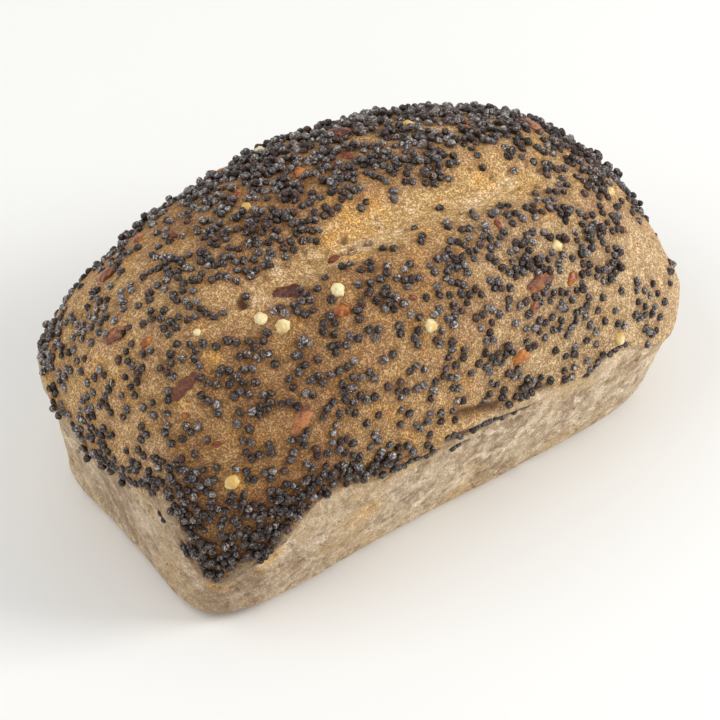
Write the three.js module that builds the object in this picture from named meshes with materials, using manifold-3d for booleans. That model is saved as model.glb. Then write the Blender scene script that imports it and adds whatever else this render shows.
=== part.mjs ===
// Multigrain roll: a small loaf baked in a tapered tin, its crust strewn with seeds, as one solid.
// Millimetres, +Z up. The origin is the middle of the flat base, and the roll's length runs along X.
import * as THREE from 'three';
import { mergeVertices } from 'three/addons/utils/BufferGeometryUtils.js';
import Module from 'manifold-3d';

const wasm = await Module();
wasm.setup();

// Driving dimensions of the loaf
const LENGTH = 83.6;                // end to end at the shoulder, the widest level
const WIDTH = 48.5;                 // side to side at the shoulder
const HEIGHT = 41.9;                // base to crown
const SHOULDER_HEIGHT = 17.3;       // mean height of the shoulder
const SHOULDER_FALL = 0.16;         // share by which the shoulder is lower at +X and higher at -X
const CROWN_FALL = 0.10;            // share by which the crust is lower at +X and higher at -X
const WALL_TAPER = 0.268;           // how far the wall moves in for each millimetre below the shoulder
const WALL_BOW = 0.25;              // how far the wall bulges half way up
const WALL_HOLLOW = 1.3;            // how far it draws in instead at the back of the -X end
const WALL_HOLLOW_ANGLE = 158;
const WALL_HOLLOW_WIDTH = 22;
const BASE_SHIFT = -2.1;            // the base sits a little towards the -X end
const BOTTOM_ROUNDING = 2.6;        // radius between the base and the wall

// Superellipse powers: 2 is an ellipse, and a higher power is squarer
const OUTLINE_POWER_BASE = 6.4;
const OUTLINE_POWER_SHOULDER = 4.5;
const OUTLINE_POWER_CROWN = 2.3;
const ARCH_POWER_LENGTHWISE = 2.7;
const ARCH_POWER_CROSSWISE = 2.95;
const ARCH_POWER_AT_CORNERS = -1.0; // added low on the four corners, where the crust falls away faster

// The seeded crust ends in a wavy edge near the shoulder, and stands proud of the pale wall there
const CRUST_LIP = 0.5;
const CRUST_LIP_REACH = 4.0;
const CRUST_EDGE_LEVEL = 1.02;
const CRUST_EDGE_WAVES = [
  { angle: -138, width: 8, rise: -0.4 },
  { angle: -120, width: 7, rise: 0.08 },
  { angle: -60, width: 6, rise: 0.05 },
  { angle: -45, width: 8, rise: -0.25 },
  { angle: 38, width: 10, rise: -0.18 },
  { angle: 100, width: 16, rise: 0.07 },
  { angle: 148, width: 7, rise: 0.05 },
  { angle: 166, width: 12, rise: -0.3 },
];
const EDGE_BEND_BELOW = 0.8;        // levels over which the wall and the crust take up the waves
const EDGE_BEND_ABOVE = 0.45;
const SHOULDER_DIP_ANGLE = -135;    // the shoulder sags at the near left corner
const SHOULDER_DIP_WIDTH = 20;
const SHOULDER_DIP = 0.31;

// The slash along the top opened into a shallow valley between two lobes
const SLASH_Y = -5.2;
const SLASH_BOW = -1.0;             // the slash's ends lie this much further towards -Y than its middle
const SLASH_HALF_LENGTH = 29;
const SLASH_HALF_WIDTH = 3.6;
const SLASH_DEPTH = 2.3;
const SLASH_EAR = 0.5;              // height of the torn lip on each side

// Low lumps of the crust: height, wave counts along X and Y, phase
const CRUST_LUMPS = [
  { height: 0.35, alongX: 3.1, alongY: 1.3, phase: 0.6 },
  { height: 0.3, alongX: -2.2, alongY: 2.6, phase: 2.1 },
  { height: 0.2, alongX: 6.3, alongY: 3.4, phase: 4.4 },
];

// Mesh of the bare loaf
const ANGLE_STEPS = 72;
const WALL_LEVELS = [0.0, 0.012, 0.05, 0.15, 0.4, 0.68, 0.9, 0.965];
const CRUST_RINGS = 17;
const ANGLE_STEP = 2 * Math.PI / ANGLE_STEPS;

// Seeds and grains: true sizes, with how deep each sits in the crust
const POPPY = { length: 1.25, width: 1.15, height: 1.05, sink: 0.3 };
const MILLET = { length: 2.1, width: 2.1, height: 1.9, sink: 0.35 };
const LINSEED = { length: 4.6, width: 2.5, height: 1.3, sink: 0.4 };
const FLAKE = { length: 5.2, width: 3.0, height: 1.1, sink: 0.45 };
const KIBBLE = { length: 2.6, width: 1.8, height: 1.3, sink: 0.4 };

// Hand-set places on the crust, [x, y] from above; turn is the lie of the long axis in degrees
const FLAKES = [
  { place: [-25.3, -19.3], turn: -35 },
  { place: [-35, -8.7], turn: 60 },
  { place: [13, -19.8], turn: 10 },
  { place: [-37, 3.8], turn: 40 },
  { place: [24, 15.5], turn: -25 },
  { place: [-9, 19.5], turn: 15 },
];
const LINSEEDS = [
  { place: [-18.4, -7.6], turn: 15 },
  { place: [9.5, -22], turn: 20 },
  { place: [-14.3, -13.9], turn: -30 },
  { place: [-31.5, 14], turn: 70 },
  { place: [5, 12.5], turn: -50 },
  { place: [31, 4], turn: 30 },
];
const MILLETS = [
  [-22.8, -8.7], [-21.2, -11.2], [-13, -11.4], [-4.5, -19.7], [18.4, -16.9], [-34.7, -18.2],
  [-14, 6.3], [15, 10.2], [33, -9], [-3, 18.8], [29, 14],
];
const KIBBLES = [
  { place: [18.6, -19.6], turn: 20 },
  { place: [-35.4, -1.4], turn: -20 },
  { place: [-13.2, 9.6], turn: 45 },
  { place: [-5.4, 7.5], turn: 10 },
  { place: [12.1, -12.9], turn: 70 },
  { place: [-5.2, -16.8], turn: -40 },
  { place: [20, 5], turn: 0 },
  { place: [-24, 18], turn: 25 },
];

// Poppy seeds are strewn by chance, kept a clear distance from each other
const POPPY_SEEDS = 150;
const POPPY_SPACING = 6.0;
const POPPY_SPACING_STEP = 0.97;    // the spacing shrinks by this when a try at it fails too often
const TRIES_PER_SPACING = 400;
const RANDOM_SEED = 2711;

const CRUST_COLOUR = '#c39a62';
const CRUST_ROUGHNESS = 0.85;

const DEGREE = Math.PI / 180;
const HALF_LENGTH = LENGTH / 2;
const HALF_WIDTH = WIDTH / 2;

// A smooth hump of height 1 round a direction, for angles in radians and a width in degrees
function hump(angle, centreDegrees, widthDegrees) {
  const turns = (angle - centreDegrees * DEGREE) / (2 * Math.PI);
  const away = (turns - Math.round(turns)) * 360;
  return Math.exp(-((away / widthDegrees) ** 2));
}

// A point of a superellipse outline in the direction of an angle
function outlinePoint(angle, halfLength, halfWidth, power) {
  const cosine = Math.cos(angle);
  const sine = Math.sin(angle);
  const reach = (Math.abs(cosine) ** power + Math.abs(sine) ** power) ** (-1 / power);
  return [halfLength * cosine * reach, halfWidth * sine * reach];
}

function shoulderHeight(angle) {
  const dip = SHOULDER_DIP * hump(angle, SHOULDER_DIP_ANGLE, SHOULDER_DIP_WIDTH);
  return SHOULDER_HEIGHT * (1 - SHOULDER_FALL * Math.cos(angle) - dip);
}

// The level, 0 at the base, 1 at the shoulder and 2 at the crown, where the seeded crust ends
function crustEdge(angle) {
  const waves = CRUST_EDGE_WAVES.map((wave) => wave.rise * hump(angle, wave.angle, wave.width));
  return waves.reduce((sum, rise) => sum + rise, CRUST_EDGE_LEVEL);
}

function wallPoint(angle, level) {
  const top = shoulderHeight(angle);
  const z = top * level;
  const round = Math.max(0, 1 - z / BOTTOM_ROUNDING);
  const bow = WALL_BOW - WALL_HOLLOW * hump(angle, WALL_HOLLOW_ANGLE, WALL_HOLLOW_WIDTH);
  const inset = WALL_TAPER * (top - z) + BOTTOM_ROUNDING * (1 - Math.sqrt(1 - round * round))
    - bow * Math.sin(Math.PI * level);
  const power = OUTLINE_POWER_BASE + (OUTLINE_POWER_SHOULDER - OUTLINE_POWER_BASE) * level;
  const [x, y] = outlinePoint(angle, HALF_LENGTH - inset, HALF_WIDTH - inset, power);
  return new THREE.Vector3(x + BASE_SHIFT * (1 - level), y, z);
}

// The crust arches from the shoulder to the crown
function archPoint(angle, level) {
  const climb = (level - 1) * Math.PI / 2;
  const lengthwise = Math.cos(angle) ** 2;
  const corner = Math.sin(2 * angle) ** 2;
  const power = ARCH_POWER_CROSSWISE + (ARCH_POWER_LENGTHWISE - ARCH_POWER_CROSSWISE) * lengthwise
    + ARCH_POWER_AT_CORNERS * corner * Math.cos(climb);
  const reach = (Math.cos(climb) ** power + Math.sin(climb) ** power) ** (-1 / power);
  const across = Math.cos(climb) * reach;
  const up = Math.sin(climb) * reach;
  const squareness = OUTLINE_POWER_SHOULDER
    + (OUTLINE_POWER_CROWN - OUTLINE_POWER_SHOULDER) * (1 - Math.cos(climb));
  const [outlineX, outlineY] = outlinePoint(angle, HALF_LENGTH, HALF_WIDTH, squareness);
  const x = across * outlineX;
  const y = across * outlineY;
  const crown = HEIGHT * (1 - CROWN_FALL * x / HALF_LENGTH);
  const foot = shoulderHeight(angle);
  return new THREE.Vector3(x, y, foot + (crown - foot) * up);
}

// Distance from the slash's middle line, in half-widths of the slash
function slashAway(x, y) {
  const along = x / SLASH_HALF_LENGTH;
  return (y - SLASH_Y - SLASH_BOW * along * along) / SLASH_HALF_WIDTH;
}

// Height that the slash takes from the crust, less the torn lips that it leaves beside it
function slashDepth(x, y) {
  const along = x / SLASH_HALF_LENGTH;
  const fade = Math.max(0, 1 - along ** 4);
  const away = slashAway(x, y);
  const valley = SLASH_DEPTH * Math.exp(-(away ** 2));
  const ears = SLASH_EAR * (Math.exp(-((away - 1.9) ** 2)) + Math.exp(-((away + 1.9) ** 2)));
  return fade * (valley - ears);
}

function lumpHeight(x, y) {
  const heights = CRUST_LUMPS.map((lump) => lump.height
    * Math.sin(lump.alongX * x / HALF_LENGTH + lump.alongY * y / HALF_WIDTH + lump.phase));
  return heights.reduce((sum, height) => sum + height, 0);
}

// A point of the finished loaf. Levels near the shoulder bend to follow the crust's edge.
function loafPoint(angle, level) {
  const reach = level < 1 ? EDGE_BEND_BELOW : EDGE_BEND_ABOVE;
  const bend = Math.max(0, 1 - Math.abs(level - 1) / reach);
  const bentLevel = level + (crustEdge(angle) - 1) * bend;
  const point = bentLevel < 1 ? wallPoint(angle, bentLevel) : archPoint(angle, bentLevel);
  if (level < 1) {
    return point;
  }
  const aboveEdge = (level - 1) * HEIGHT;
  const lip = CRUST_LIP * Math.exp(-aboveEdge / CRUST_LIP_REACH);
  const outward = new THREE.Vector2(point.x / HALF_LENGTH, point.y / HALF_WIDTH).normalize();
  const crustiness = Math.min(1, (level - 1) / 0.35);
  const lump = lumpHeight(point.x, point.y) * crustiness;
  point.x += outward.x * lip;
  point.y += outward.y * lip;
  point.z += lump - slashDepth(point.x, point.y) * crustiness;
  return point;
}

// The point and outward direction of the faceted crust at an angle and level, from the mesh cell round them
function crustSite(angle, level) {
  const column = angle / ANGLE_STEP - 0.5;
  const row = Math.min((level - 1) * CRUST_RINGS, CRUST_RINGS - 0.01);
  const left = (Math.floor(column) + 0.5) * ANGLE_STEP;
  const lower = 1 + Math.floor(row) / CRUST_RINGS;
  const corners = [0, 1].map((up) => [0, 1].map((right) => (
    loafPoint(left + right * ANGLE_STEP, lower + up / CRUST_RINGS))));
  const across = column - Math.floor(column);
  const climb = row - Math.floor(row);
  const below = corners[0][0].clone().lerp(corners[0][1], across);
  const above = corners[1][0].clone().lerp(corners[1][1], across);
  const sideways = corners[0][1].clone().sub(corners[0][0]);
  const normal = sideways.cross(above.clone().sub(below)).normalize();
  return { point: below.lerp(above, climb), normal };
}

// The bare loaf: rings of points from the base's edge to the crown, with the flat base as strips across
function loafGeometry() {
  const levels = [...WALL_LEVELS];
  for (let ring = 0; ring < CRUST_RINGS; ring += 1) {
    levels.push(1 + ring / CRUST_RINGS);
  }
  const positions = [];
  for (const level of levels) {
    for (let step = 0; step < ANGLE_STEPS; step += 1) {
      const angle = (step + 0.5) * ANGLE_STEP;
      positions.push(...loafPoint(angle, level).toArray());
    }
  }
  const crown = positions.length / 3;
  positions.push(...loafPoint(0, 2).toArray());

  const triangles = [];
  for (let ring = 0; ring < levels.length - 1; ring += 1) {
    for (let step = 0; step < ANGLE_STEPS; step += 1) {
      const next = (step + 1) % ANGLE_STEPS;
      const lower = ring * ANGLE_STEPS;
      const upper = lower + ANGLE_STEPS;
      triangles.push(lower + step, lower + next, upper + next);
      triangles.push(lower + step, upper + next, upper + step);
    }
  }
  const lastRing = (levels.length - 1) * ANGLE_STEPS;
  for (let step = 0; step < ANGLE_STEPS; step += 1) {
    triangles.push(lastRing + step, lastRing + (step + 1) % ANGLE_STEPS, crown);
  }
  for (let step = 0; step < ANGLE_STEPS / 2 - 1; step += 1) {
    const mirror = ANGLE_STEPS - 1 - step;
    triangles.push(step, mirror, step + 1);
    if (mirror - 1 > step + 1) {
      triangles.push(step + 1, mirror, mirror - 1);
    }
  }
  const geometry = new THREE.BufferGeometry();
  geometry.setAttribute('position', new THREE.Float32BufferAttribute(positions, 3));
  geometry.setIndex(triangles);
  return geometry;
}

// A faceted ball, one corner up, with its shared corners merged
function facetedBall(detail) {
  const ball = new THREE.IcosahedronGeometry(0.5, detail);
  ball.rotateX(Math.atan(2 / (1 + Math.sqrt(5))));
  ball.deleteAttribute('normal');
  ball.deleteAttribute('uv');
  return mergeVertices(ball);
}

const COARSE_BALL = facetedBall(0);
const FINE_BALL = facetedBall(1);

// A seed as a faceted ellipsoid, sunk into the crust at a place, its length turned in the surface
function seedGeometry(size, angle, level, turnDegrees, ball) {
  const geometry = ball.clone();
  geometry.scale(size.length, size.width, size.height);
  geometry.rotateZ(turnDegrees * DEGREE);
  const up = new THREE.Vector3(0, 0, 1);
  const { point, normal } = crustSite(angle, level);
  geometry.applyQuaternion(new THREE.Quaternion().setFromUnitVectors(up, normal));
  const centre = point.addScaledVector(normal, size.height * (0.5 - size.sink));
  geometry.translate(centre.x, centre.y, centre.z);
  return geometry;
}

// The angle and level of the crust above a place seen from above, by halving
function siteAbove([x, y]) {
  const angle = Math.atan2(y / HALF_WIDTH, x / HALF_LENGTH);
  const wanted = Math.hypot(x, y);
  let low = 1.02;
  let high = 2;
  for (let halving = 0; halving < 30; halving += 1) {
    const middle = (low + high) / 2;
    const point = loafPoint(angle, middle);
    if (Math.hypot(point.x, point.y) > wanted) {
      low = middle;
    } else {
      high = middle;
    }
  }
  return [angle, low];
}

// A repeatable source of numbers from 0 to 1
function makeRandom(seed) {
  let state = seed;
  return () => {
    state = (state * 1664525 + 1013904223) % 4294967296;
    return state / 4294967296;
  };
}

// Poppy seeds lie all over the crust but leave the open slash bare
function isBare(point) {
  const along = Math.abs(point.x / SLASH_HALF_LENGTH);
  const away = Math.abs(slashAway(point.x, point.y));
  return along < 0.9 && away < 1.1 * (1 - along ** 3);
}

function strewPoppySeeds(taken) {
  const random = makeRandom(RANDOM_SEED);
  const sites = [];
  const points = [...taken];
  let spacing = POPPY_SPACING;
  let tries = 0;
  while (sites.length < POPPY_SEEDS) {
    tries += 1;
    if (tries > TRIES_PER_SPACING) {
      spacing *= POPPY_SPACING_STEP;
      tries = 0;
    }
    const x = (2 * random() - 1) * HALF_LENGTH;
    const y = (2 * random() - 1) * HALF_WIDTH;
    const z = random() * HEIGHT;
    const angle = Math.atan2(y / HALF_WIDTH, x / HALF_LENGTH);
    const level = 1.015 + 0.985 * Math.min(1, Math.max(0, (z / HEIGHT - 0.35) / 0.65)) ** 0.9;
    const point = loafPoint(angle, level);
    const clear = points.every((other) => other.distanceTo(point) > spacing);
    if (clear && !isBare(point)) {
      sites.push([angle, level]);
      points.push(point);
      tries = 0;
    }
  }
  return sites;
}

function toSolid(geometry) {
  return new wasm.Manifold(new wasm.Mesh({
    numProp: 3,
    vertProperties: Float32Array.from(geometry.attributes.position.array),
    triVerts: Uint32Array.from(geometry.index.array),
  }));
}

function toGeometry(solid) {
  const mesh = solid.getMesh();
  const geometry = new THREE.BufferGeometry();
  geometry.setAttribute('position', new THREE.Float32BufferAttribute(mesh.vertProperties, 3));
  geometry.setIndex(Array.from(mesh.triVerts));
  geometry.computeVertexNormals();
  return geometry;
}

// Largest first: flakes and linseeds, then kibbled grain and millet, then the poppy seeds
function allSeeds() {
  const seeds = [];
  const points = [];
  function addAbove(size, place, turn, ball) {
    const [angle, level] = siteAbove(place);
    seeds.push(seedGeometry(size, angle, level, turn, ball));
    points.push(loafPoint(angle, level));
  }
  FLAKES.forEach(({ place, turn }) => addAbove(FLAKE, place, turn, FINE_BALL));
  LINSEEDS.forEach(({ place, turn }) => addAbove(LINSEED, place, turn, FINE_BALL));
  KIBBLES.forEach(({ place, turn }) => addAbove(KIBBLE, place, turn, COARSE_BALL));
  MILLETS.forEach((place) => addAbove(MILLET, place, 0, COARSE_BALL));
  strewPoppySeeds(points).forEach(([angle, level], index) => {
    seeds.push(seedGeometry(POPPY, angle, level, index * 137.5, COARSE_BALL));
  });
  return seeds;
}

const loaf = allSeeds().reduce((solid, seed) => solid.add(toSolid(seed)), toSolid(loafGeometry()));

const crustMaterial = new THREE.MeshStandardMaterial({
  color: CRUST_COLOUR,
  roughness: CRUST_ROUGHNESS,
  metalness: 0,
});

const roll = new THREE.Mesh(toGeometry(loaf), crustMaterial);
roll.name = 'roll';

const multigrainRoll = new THREE.Group();
multigrainRoll.add(roll);

export default multigrainRoll;
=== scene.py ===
"""Multigrain roll: a tin-baked loaf with a slashed crust strewn with seeds, dressed over its measured frame.

The shape functions work in millimetres, as the loaf's own sizes do. Meshes are made in metres.
"""
import itertools
import math

import bmesh
import bpy
import numpy as np
from mathutils import Matrix, Vector
from mathutils.bvhtree import BVHTree
from mathutils.kdtree import KDTree


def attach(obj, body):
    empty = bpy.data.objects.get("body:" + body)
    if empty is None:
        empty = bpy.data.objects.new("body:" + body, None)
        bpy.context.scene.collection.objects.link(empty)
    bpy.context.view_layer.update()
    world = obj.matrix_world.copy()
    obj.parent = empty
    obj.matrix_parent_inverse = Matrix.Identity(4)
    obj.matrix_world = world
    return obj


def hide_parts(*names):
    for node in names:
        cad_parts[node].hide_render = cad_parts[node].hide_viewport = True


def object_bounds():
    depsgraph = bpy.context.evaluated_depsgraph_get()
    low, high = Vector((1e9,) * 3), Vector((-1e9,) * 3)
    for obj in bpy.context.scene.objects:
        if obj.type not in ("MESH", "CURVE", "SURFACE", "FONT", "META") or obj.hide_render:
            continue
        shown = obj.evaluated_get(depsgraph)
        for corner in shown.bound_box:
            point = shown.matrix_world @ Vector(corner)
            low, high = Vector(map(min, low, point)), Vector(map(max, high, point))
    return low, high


bl_info = {
    "name": "Multigrain Roll",
    "version": (1, 0, 0),
    "blender": (4, 5, 0),
    "location": "View3D > Sidebar > Multigrain Roll",
    "description": "Builds a tin-baked multigrain roll with its seeded crust, and a plain stage for it",
    "category": "Add Mesh",
}

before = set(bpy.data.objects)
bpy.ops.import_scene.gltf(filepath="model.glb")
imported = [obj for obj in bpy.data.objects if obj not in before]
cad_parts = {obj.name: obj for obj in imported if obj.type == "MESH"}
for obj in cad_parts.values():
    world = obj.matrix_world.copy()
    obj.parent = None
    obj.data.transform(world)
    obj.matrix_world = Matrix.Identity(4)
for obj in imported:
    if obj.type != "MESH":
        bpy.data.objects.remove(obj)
CAD_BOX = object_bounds()
LOAF_NODE = "roll"
BODY = "root"
MM = 0.001

# ---------------------------------------------------------------- the loaf's form, as in the frame

LENGTH = 83.6
WIDTH = 48.5
HEIGHT = 41.9
HALF_LENGTH = LENGTH / 2
HALF_WIDTH = WIDTH / 2
SHOULDER_HEIGHT = 17.3
SHOULDER_FALL = 0.16
CROWN_FALL = 0.10
WALL_TAPER = 0.268
WALL_BOW = 0.25
BASE_SHIFT = -2.1
BOTTOM_ROUNDING = 2.6
OUTLINE_POWER = {"base": 6.4, "shoulder": 4.5, "crown": 2.3}
ARCH_POWER = {"lengthwise": 2.7, "crosswise": 2.95, "at_corners": -1.0}
CRUST_LIP = 0.5
CRUST_LIP_REACH = 4.0
# Humps round the loaf: centre and width in degrees, and height
SHOULDER_DIPS = [(-135, 20, 0.31)]          # shares of the shoulder's height
WALL_HOLLOWS = [(158, 22, 1.3)]
CRUST_EDGE_WAVES = [                        # in levels
    (-138, 8, -0.4), (-120, 7, 0.08), (-60, 6, 0.05), (-45, 8, -0.25), (38, 10, -0.18), (100, 16, 0.07),
    (148, 7, 0.05), (166, 12, -0.3),
]
CRUST_EDGE_LEVEL = 1.02
EDGE_BEND_BELOW = 0.8
EDGE_BEND_ABOVE = 0.45
SLASH_Y = -5.2
SLASH_BOW = -1.0
SLASH_HALF_LENGTH = 29
SLASH_HALF_WIDTH = 3.6
SLASH_DEPTH = 2.3
SLASH_EAR = 0.5
SLASH_EAR_AWAY = 1.9        # from the slash's middle line, in its half-widths
OPENING_SHIFT = -0.9        # the bare strip lies this far towards -Y of the slash's valley
OPENING_REACH = 1.15        # half of its width, in half-widths of the slash
OPENING_EDGE = (-0.2, 0.35)     # from closed to open skin, in the same measure
OPENING_END = 1.05          # in half-lengths of the slash
OPENING_CLOSES = {"x": (-6, -18), "share": 0.55}        # it heals over towards the left
SKIN_INSET = {"ends": 0.25, "middle": 0.75}     # how far the skin lies inside the seeded form
SKIN_INSET_REACH = 24
# Height of the lumps, radians of their waves over half the loaf along x and y, and where the waves start
CRUST_LUMPS = [(0.35, 3.1, 1.3, 0.6), (0.3, -2.2, 2.6, 2.1), (0.2, 6.3, 3.4, 4.4)]
LUMPS_RISE_OVER = 0.35      # levels over which the lumps and the slash reach their full height

# Levels over which the finish changes
WALL_TO_CRUST = (0.99, 1.01)
INSET_STARTS = (1.0, 1.1)
RELIEF_STARTS = (0.02, 0.14)

# Mesh of the loaf: a grid over the crust, rings down the wall
CRUST_COLUMNS = 290
CRUST_ROWS = 168
CRUST_CROWDING = 1.2        # over 1 draws the grid's lines closer at the crust's edge
WALL_RINGS = 46
WALL_CROWDING = 1.25        # the same for the rings
WALL_RINGS_WITH_SEEDS = 8
BOTTOM_LEVELS = (0.02, 0.008, 0.0)

# Noise in layers of height, size and seed. A size may differ by axis
SKIN_LAYERS = ((0.24, 9.0, 1), (0.13, 4.0, 2), (0.09, 1.9, 3), (0.07, 0.9, 4))
TORN_LAYERS = ((0.30, (7.0, 1.4, 1.8), 5), (0.14, (2.4, 0.8, 0.9), 6))
WALL_LAYERS = ((0.18, (8.0, 8.0, 6.0), 21), (0.09, (2.6, 2.6, 2.0), 22), (0.06, 0.9, 23))
OPENING_LAYERS = ((0.25, (4.0, 2.0, 3.0), 11), (0.12, 1.1, 12))
MARK_LAYERS = ((0.2, 5.0, 25), (0.1, 1.6, 27))
BAKE_LAYERS = ((0.16, 7.0, 8), (0.1, 3.0, 9))
CLUMP_LAYERS = ((1.3, 3.4, 31), (0.7, 8.0, 32))
POPPY_LAYERS = ((0.2, 0.95, 33), (0.12, 0.5, 34))
WRINKLES = {"height": 0.10, "narrowness": 2.5, "size": (5.0, 1.6, 3.0), "seed": 7}
WALL_POCKS = {"depth": 0.26, "range": (0.36, 0.6), "size": 1.1, "seed": 24}

# Grains: their places seen from above, the lie of their long axis in degrees, how dark they are from
# 0 to 1, and their share of their kind's size
FLAKES = [
    ((-24.9, -19.8), 55, 0.5, 0.85), ((-35.2, -9.3), 40, 1.1, 0.8), ((13.4, -19.9), 10, 0.55, 0.85),
    ((-37.3, 3.4), 60, 0.5, 0.75), ((24, 15.5), -25, 0.6, 1.0), ((-9, 19.5), 15, 0.5, 0.9),
]
LINSEEDS = [
    ((-18.0, -8.1), 105, 0.9, 0.95), ((11.5, -21.3), 20, 0.7, 0.5), ((-32.0, 12.6), 70, 0.2, 0.8),
    ((5, 12.5), -50, 0.7, 0.9), ((31, 4), 30, 0.5, 0.8),
]
MILLETS = [
    ((-23.2, -9.3), 0, 0.0, 0.95), ((-21.8, -12.0), 40, 0.5, 1.0), ((-13.5, -12.5), 80, 0.2, 0.95),
    ((-4.5, -20.1), 120, 0.4, 0.9), ((18.7, -16.7), 160, 0.3, 0.85), ((-34.7, -18.6), 20, 0.8, 1.0),
    ((-14.2, 6.1), 60, 0.9, 0.75), ((14.0, 9.0), 100, 0.9, 0.8), ((33.9, -9.2), 140, 0.5, 0.75),
    ((24.0, -23.9), 30, 0.6, 0.85), ((-30.7, -6.0), 70, 0.2, 0.5), ((-3, 18.8), 0, 0.6, 0.8),
    ((29, 14), 50, 0.4, 0.8),
]
KIBBLES = [
    ((18.8, -19.8), 20, 0.75, 0.85), ((-35.7, -1.9), 60, 0.45, 0.75), ((-13.3, 9.6), 45, 0.5, 0.9),
    ((-4.4, 8.0), 10, 0.6, 0.9), ((11.9, -12.8), 70, 0.6, 0.55), ((-5.1, -17.1), -40, 1.0, 0.5),
    ((20.2, 4.8), 0, 0.6, 0.8), ((-25.8, 13.9), 25, 0.6, 0.9), ((7.7, -23.3), 15, 0.35, 1.15),
    ((-14.5, -14.6), 0, 0.35, 1.0), ((-10.2, -7.3), 30, 0.95, 0.8), ((-36.4, -11.3), 0, 0.8, 0.45),
    ((2.5, 6.9), 90, 0.6, 0.8), ((-23.5, 9.2), 60, 1.05, 0.65), ((-34.6, -15.5), 20, 1.1, 0.5),
]
ALL_GRAINS = FLAKES + LINSEEDS + MILLETS + KIBBLES
GRAIN_RELIEF = ((1.0, 1.6, 61, 11), (0.5, 0.7, 62, 7))      # height, size, seed and step from grain to grain
GRAIN_TILT = (0.05, -0.05)
GRAIN_DOME = {"radius": 3.0, "height": 0.25}                # the skin swells round a grain of full size
GRAIN_KINDS = {     # by piece: shares of its length by axis, how deep it sits, its mesh and its skin
    "millet": {
        "grains": MILLETS, "setting": "millet", "shares": (1, 0.93, 0.8), "sink": 0.64, "fineness": 3,
        "roughen": 0.2, "skin": "millet_skin", "dark": (0.84, 0.68, 0.36), "fleck": 0.0005,
        "roughness": 0.5, "shader": {"Subsurface_Weight": 0.15, "Subsurface_Scale": 0.0006}},
    "linseeds": {
        "grains": LINSEEDS, "setting": "linseed", "shares": (1, 0.62, 0.34), "sink": 0.58, "fineness": 4,
        "roughen": 0.22, "skin": "linseed_skin", "dark": (0.30, 0.12, 0.09), "fleck": 0.0006,
        "roughness": 0.42, "shader": {}},
    "bran_flakes": {
        "grains": FLAKES, "setting": "flake", "shares": (1, 0.5, 0.2), "sink": 0.7, "fineness": 4,
        "roughen": 0.34, "skin": "bran_skin", "dark": (0.38, 0.20, 0.145), "fleck": 0.0005,
        "roughness": 0.55, "shader": {}},
    "cracked_grain": {
        "grains": KIBBLES, "setting": "kibble", "shares": (1, 0.62, 0.42), "sink": 0.6, "fineness": 3,
        "roughen": 0.32, "skin": "kibble_skin", "dark": (0.42, 0.16, 0.09), "fleck": 0.0005,
        "roughness": 0.4, "shader": {"Subsurface_Weight": 0.2, "Subsurface_Scale": 0.0008}},
}

# How thickly the poppy seeds lie, in seeds for each square millimetre
SEED_DENSITY = 0.45
SEED_DENSITY_LEAST = 0.04
SEED_PATCHES = [    # thicker or thinner patches: place seen from above, reach by axis, how much they add
    ((8, 15), (20, 8), 3.2), ((-8, 8), (8, 6), 1.0), ((12, 7), (8, 4), 0.6), ((-22, 10), (6, 5), -0.25),
    ((-17, 1.5), (8, 3.5), 2.4), ((15, 2.5), (11, 3.6), 1.7), ((36, -2), (7, 8), 1.1),
    ((31, -8), (5, 4.5), 0.9), ((12, -16), (14, 5), 0.45), ((-22, -14), (8, 4.5), 0.4),
    ((-8, -12), (6, 3.5), 0.5), ((38, -15), (7, 7), -0.6), ((-41, 16), (4, 6), 0.7),
    ((-41, -20), (6, 5), 0.7), ((-29, -25), (7, 3), 0.8), ((-31, -9), (7, 8), -0.1),
    ((-31, 7), (5, 8), -0.1),
]
EDGE_PILES = [      # seeds gathered where they start: centre and width in degrees, reach up, what they add
    (176, 12, 1.9, 4.0), (-167, 8, 1.9, 4.0), (-153, 8, 2.2, 6.0), (-138, 8, 4.6, 14.0),
    (-126, 7, 3.2, 9.0), (-115, 9, 2.2, 7.0), (-80, 16, 1.8, 0.7), (95, 18, 2.2, 0.7),
    (150, 12, 3.0, 1.2), (35, 12, 2.4, 0.8),
]
SEED_CLUMPING = (0.08, 2.6)     # least and most that clumps multiply the density by
SEEDS_IN_SLASH = 0.03       # share of the seeds that the open slash keeps
SEEDS_FROM = 0.3            # they start this far above their line
BARE_PIT = 0.35             # and stay out of pits deeper than this
# Where the seeds and the sandy skin start, by angle, in millimetres up from the crust's edge
SEED_LINE = [
    (-180, -2.2), (-167, -2.2), (-163, -0.8), (-158, 0.8), (-155, 1.3), (-153.5, 3.1), (-150, 3.9),
    (-146, 4.3), (-143, 3.2), (-141, 2.2), (-138, 0.8), (-136, 2.0), (-134, 4.5), (-132, 3.0),
    (-130, 1.6), (-128, 2.8), (-126, 0.8), (-121, 0.3), (-100, 0.1), (-96, 0.5), (-90, 1.5), (-78, 1.7),
    (-73, 1.2), (-67, 0.0), (-40, 0.3), (-10, 0.9), (15, 0.7), (35, -0.2), (60, 1.1), (85, 0.2),
    (110, -1.0), (130, 0.3), (150, 1.4), (160, 1.8), (168, -0.6), (174, -2.0), (180, -2.2),
]
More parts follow.
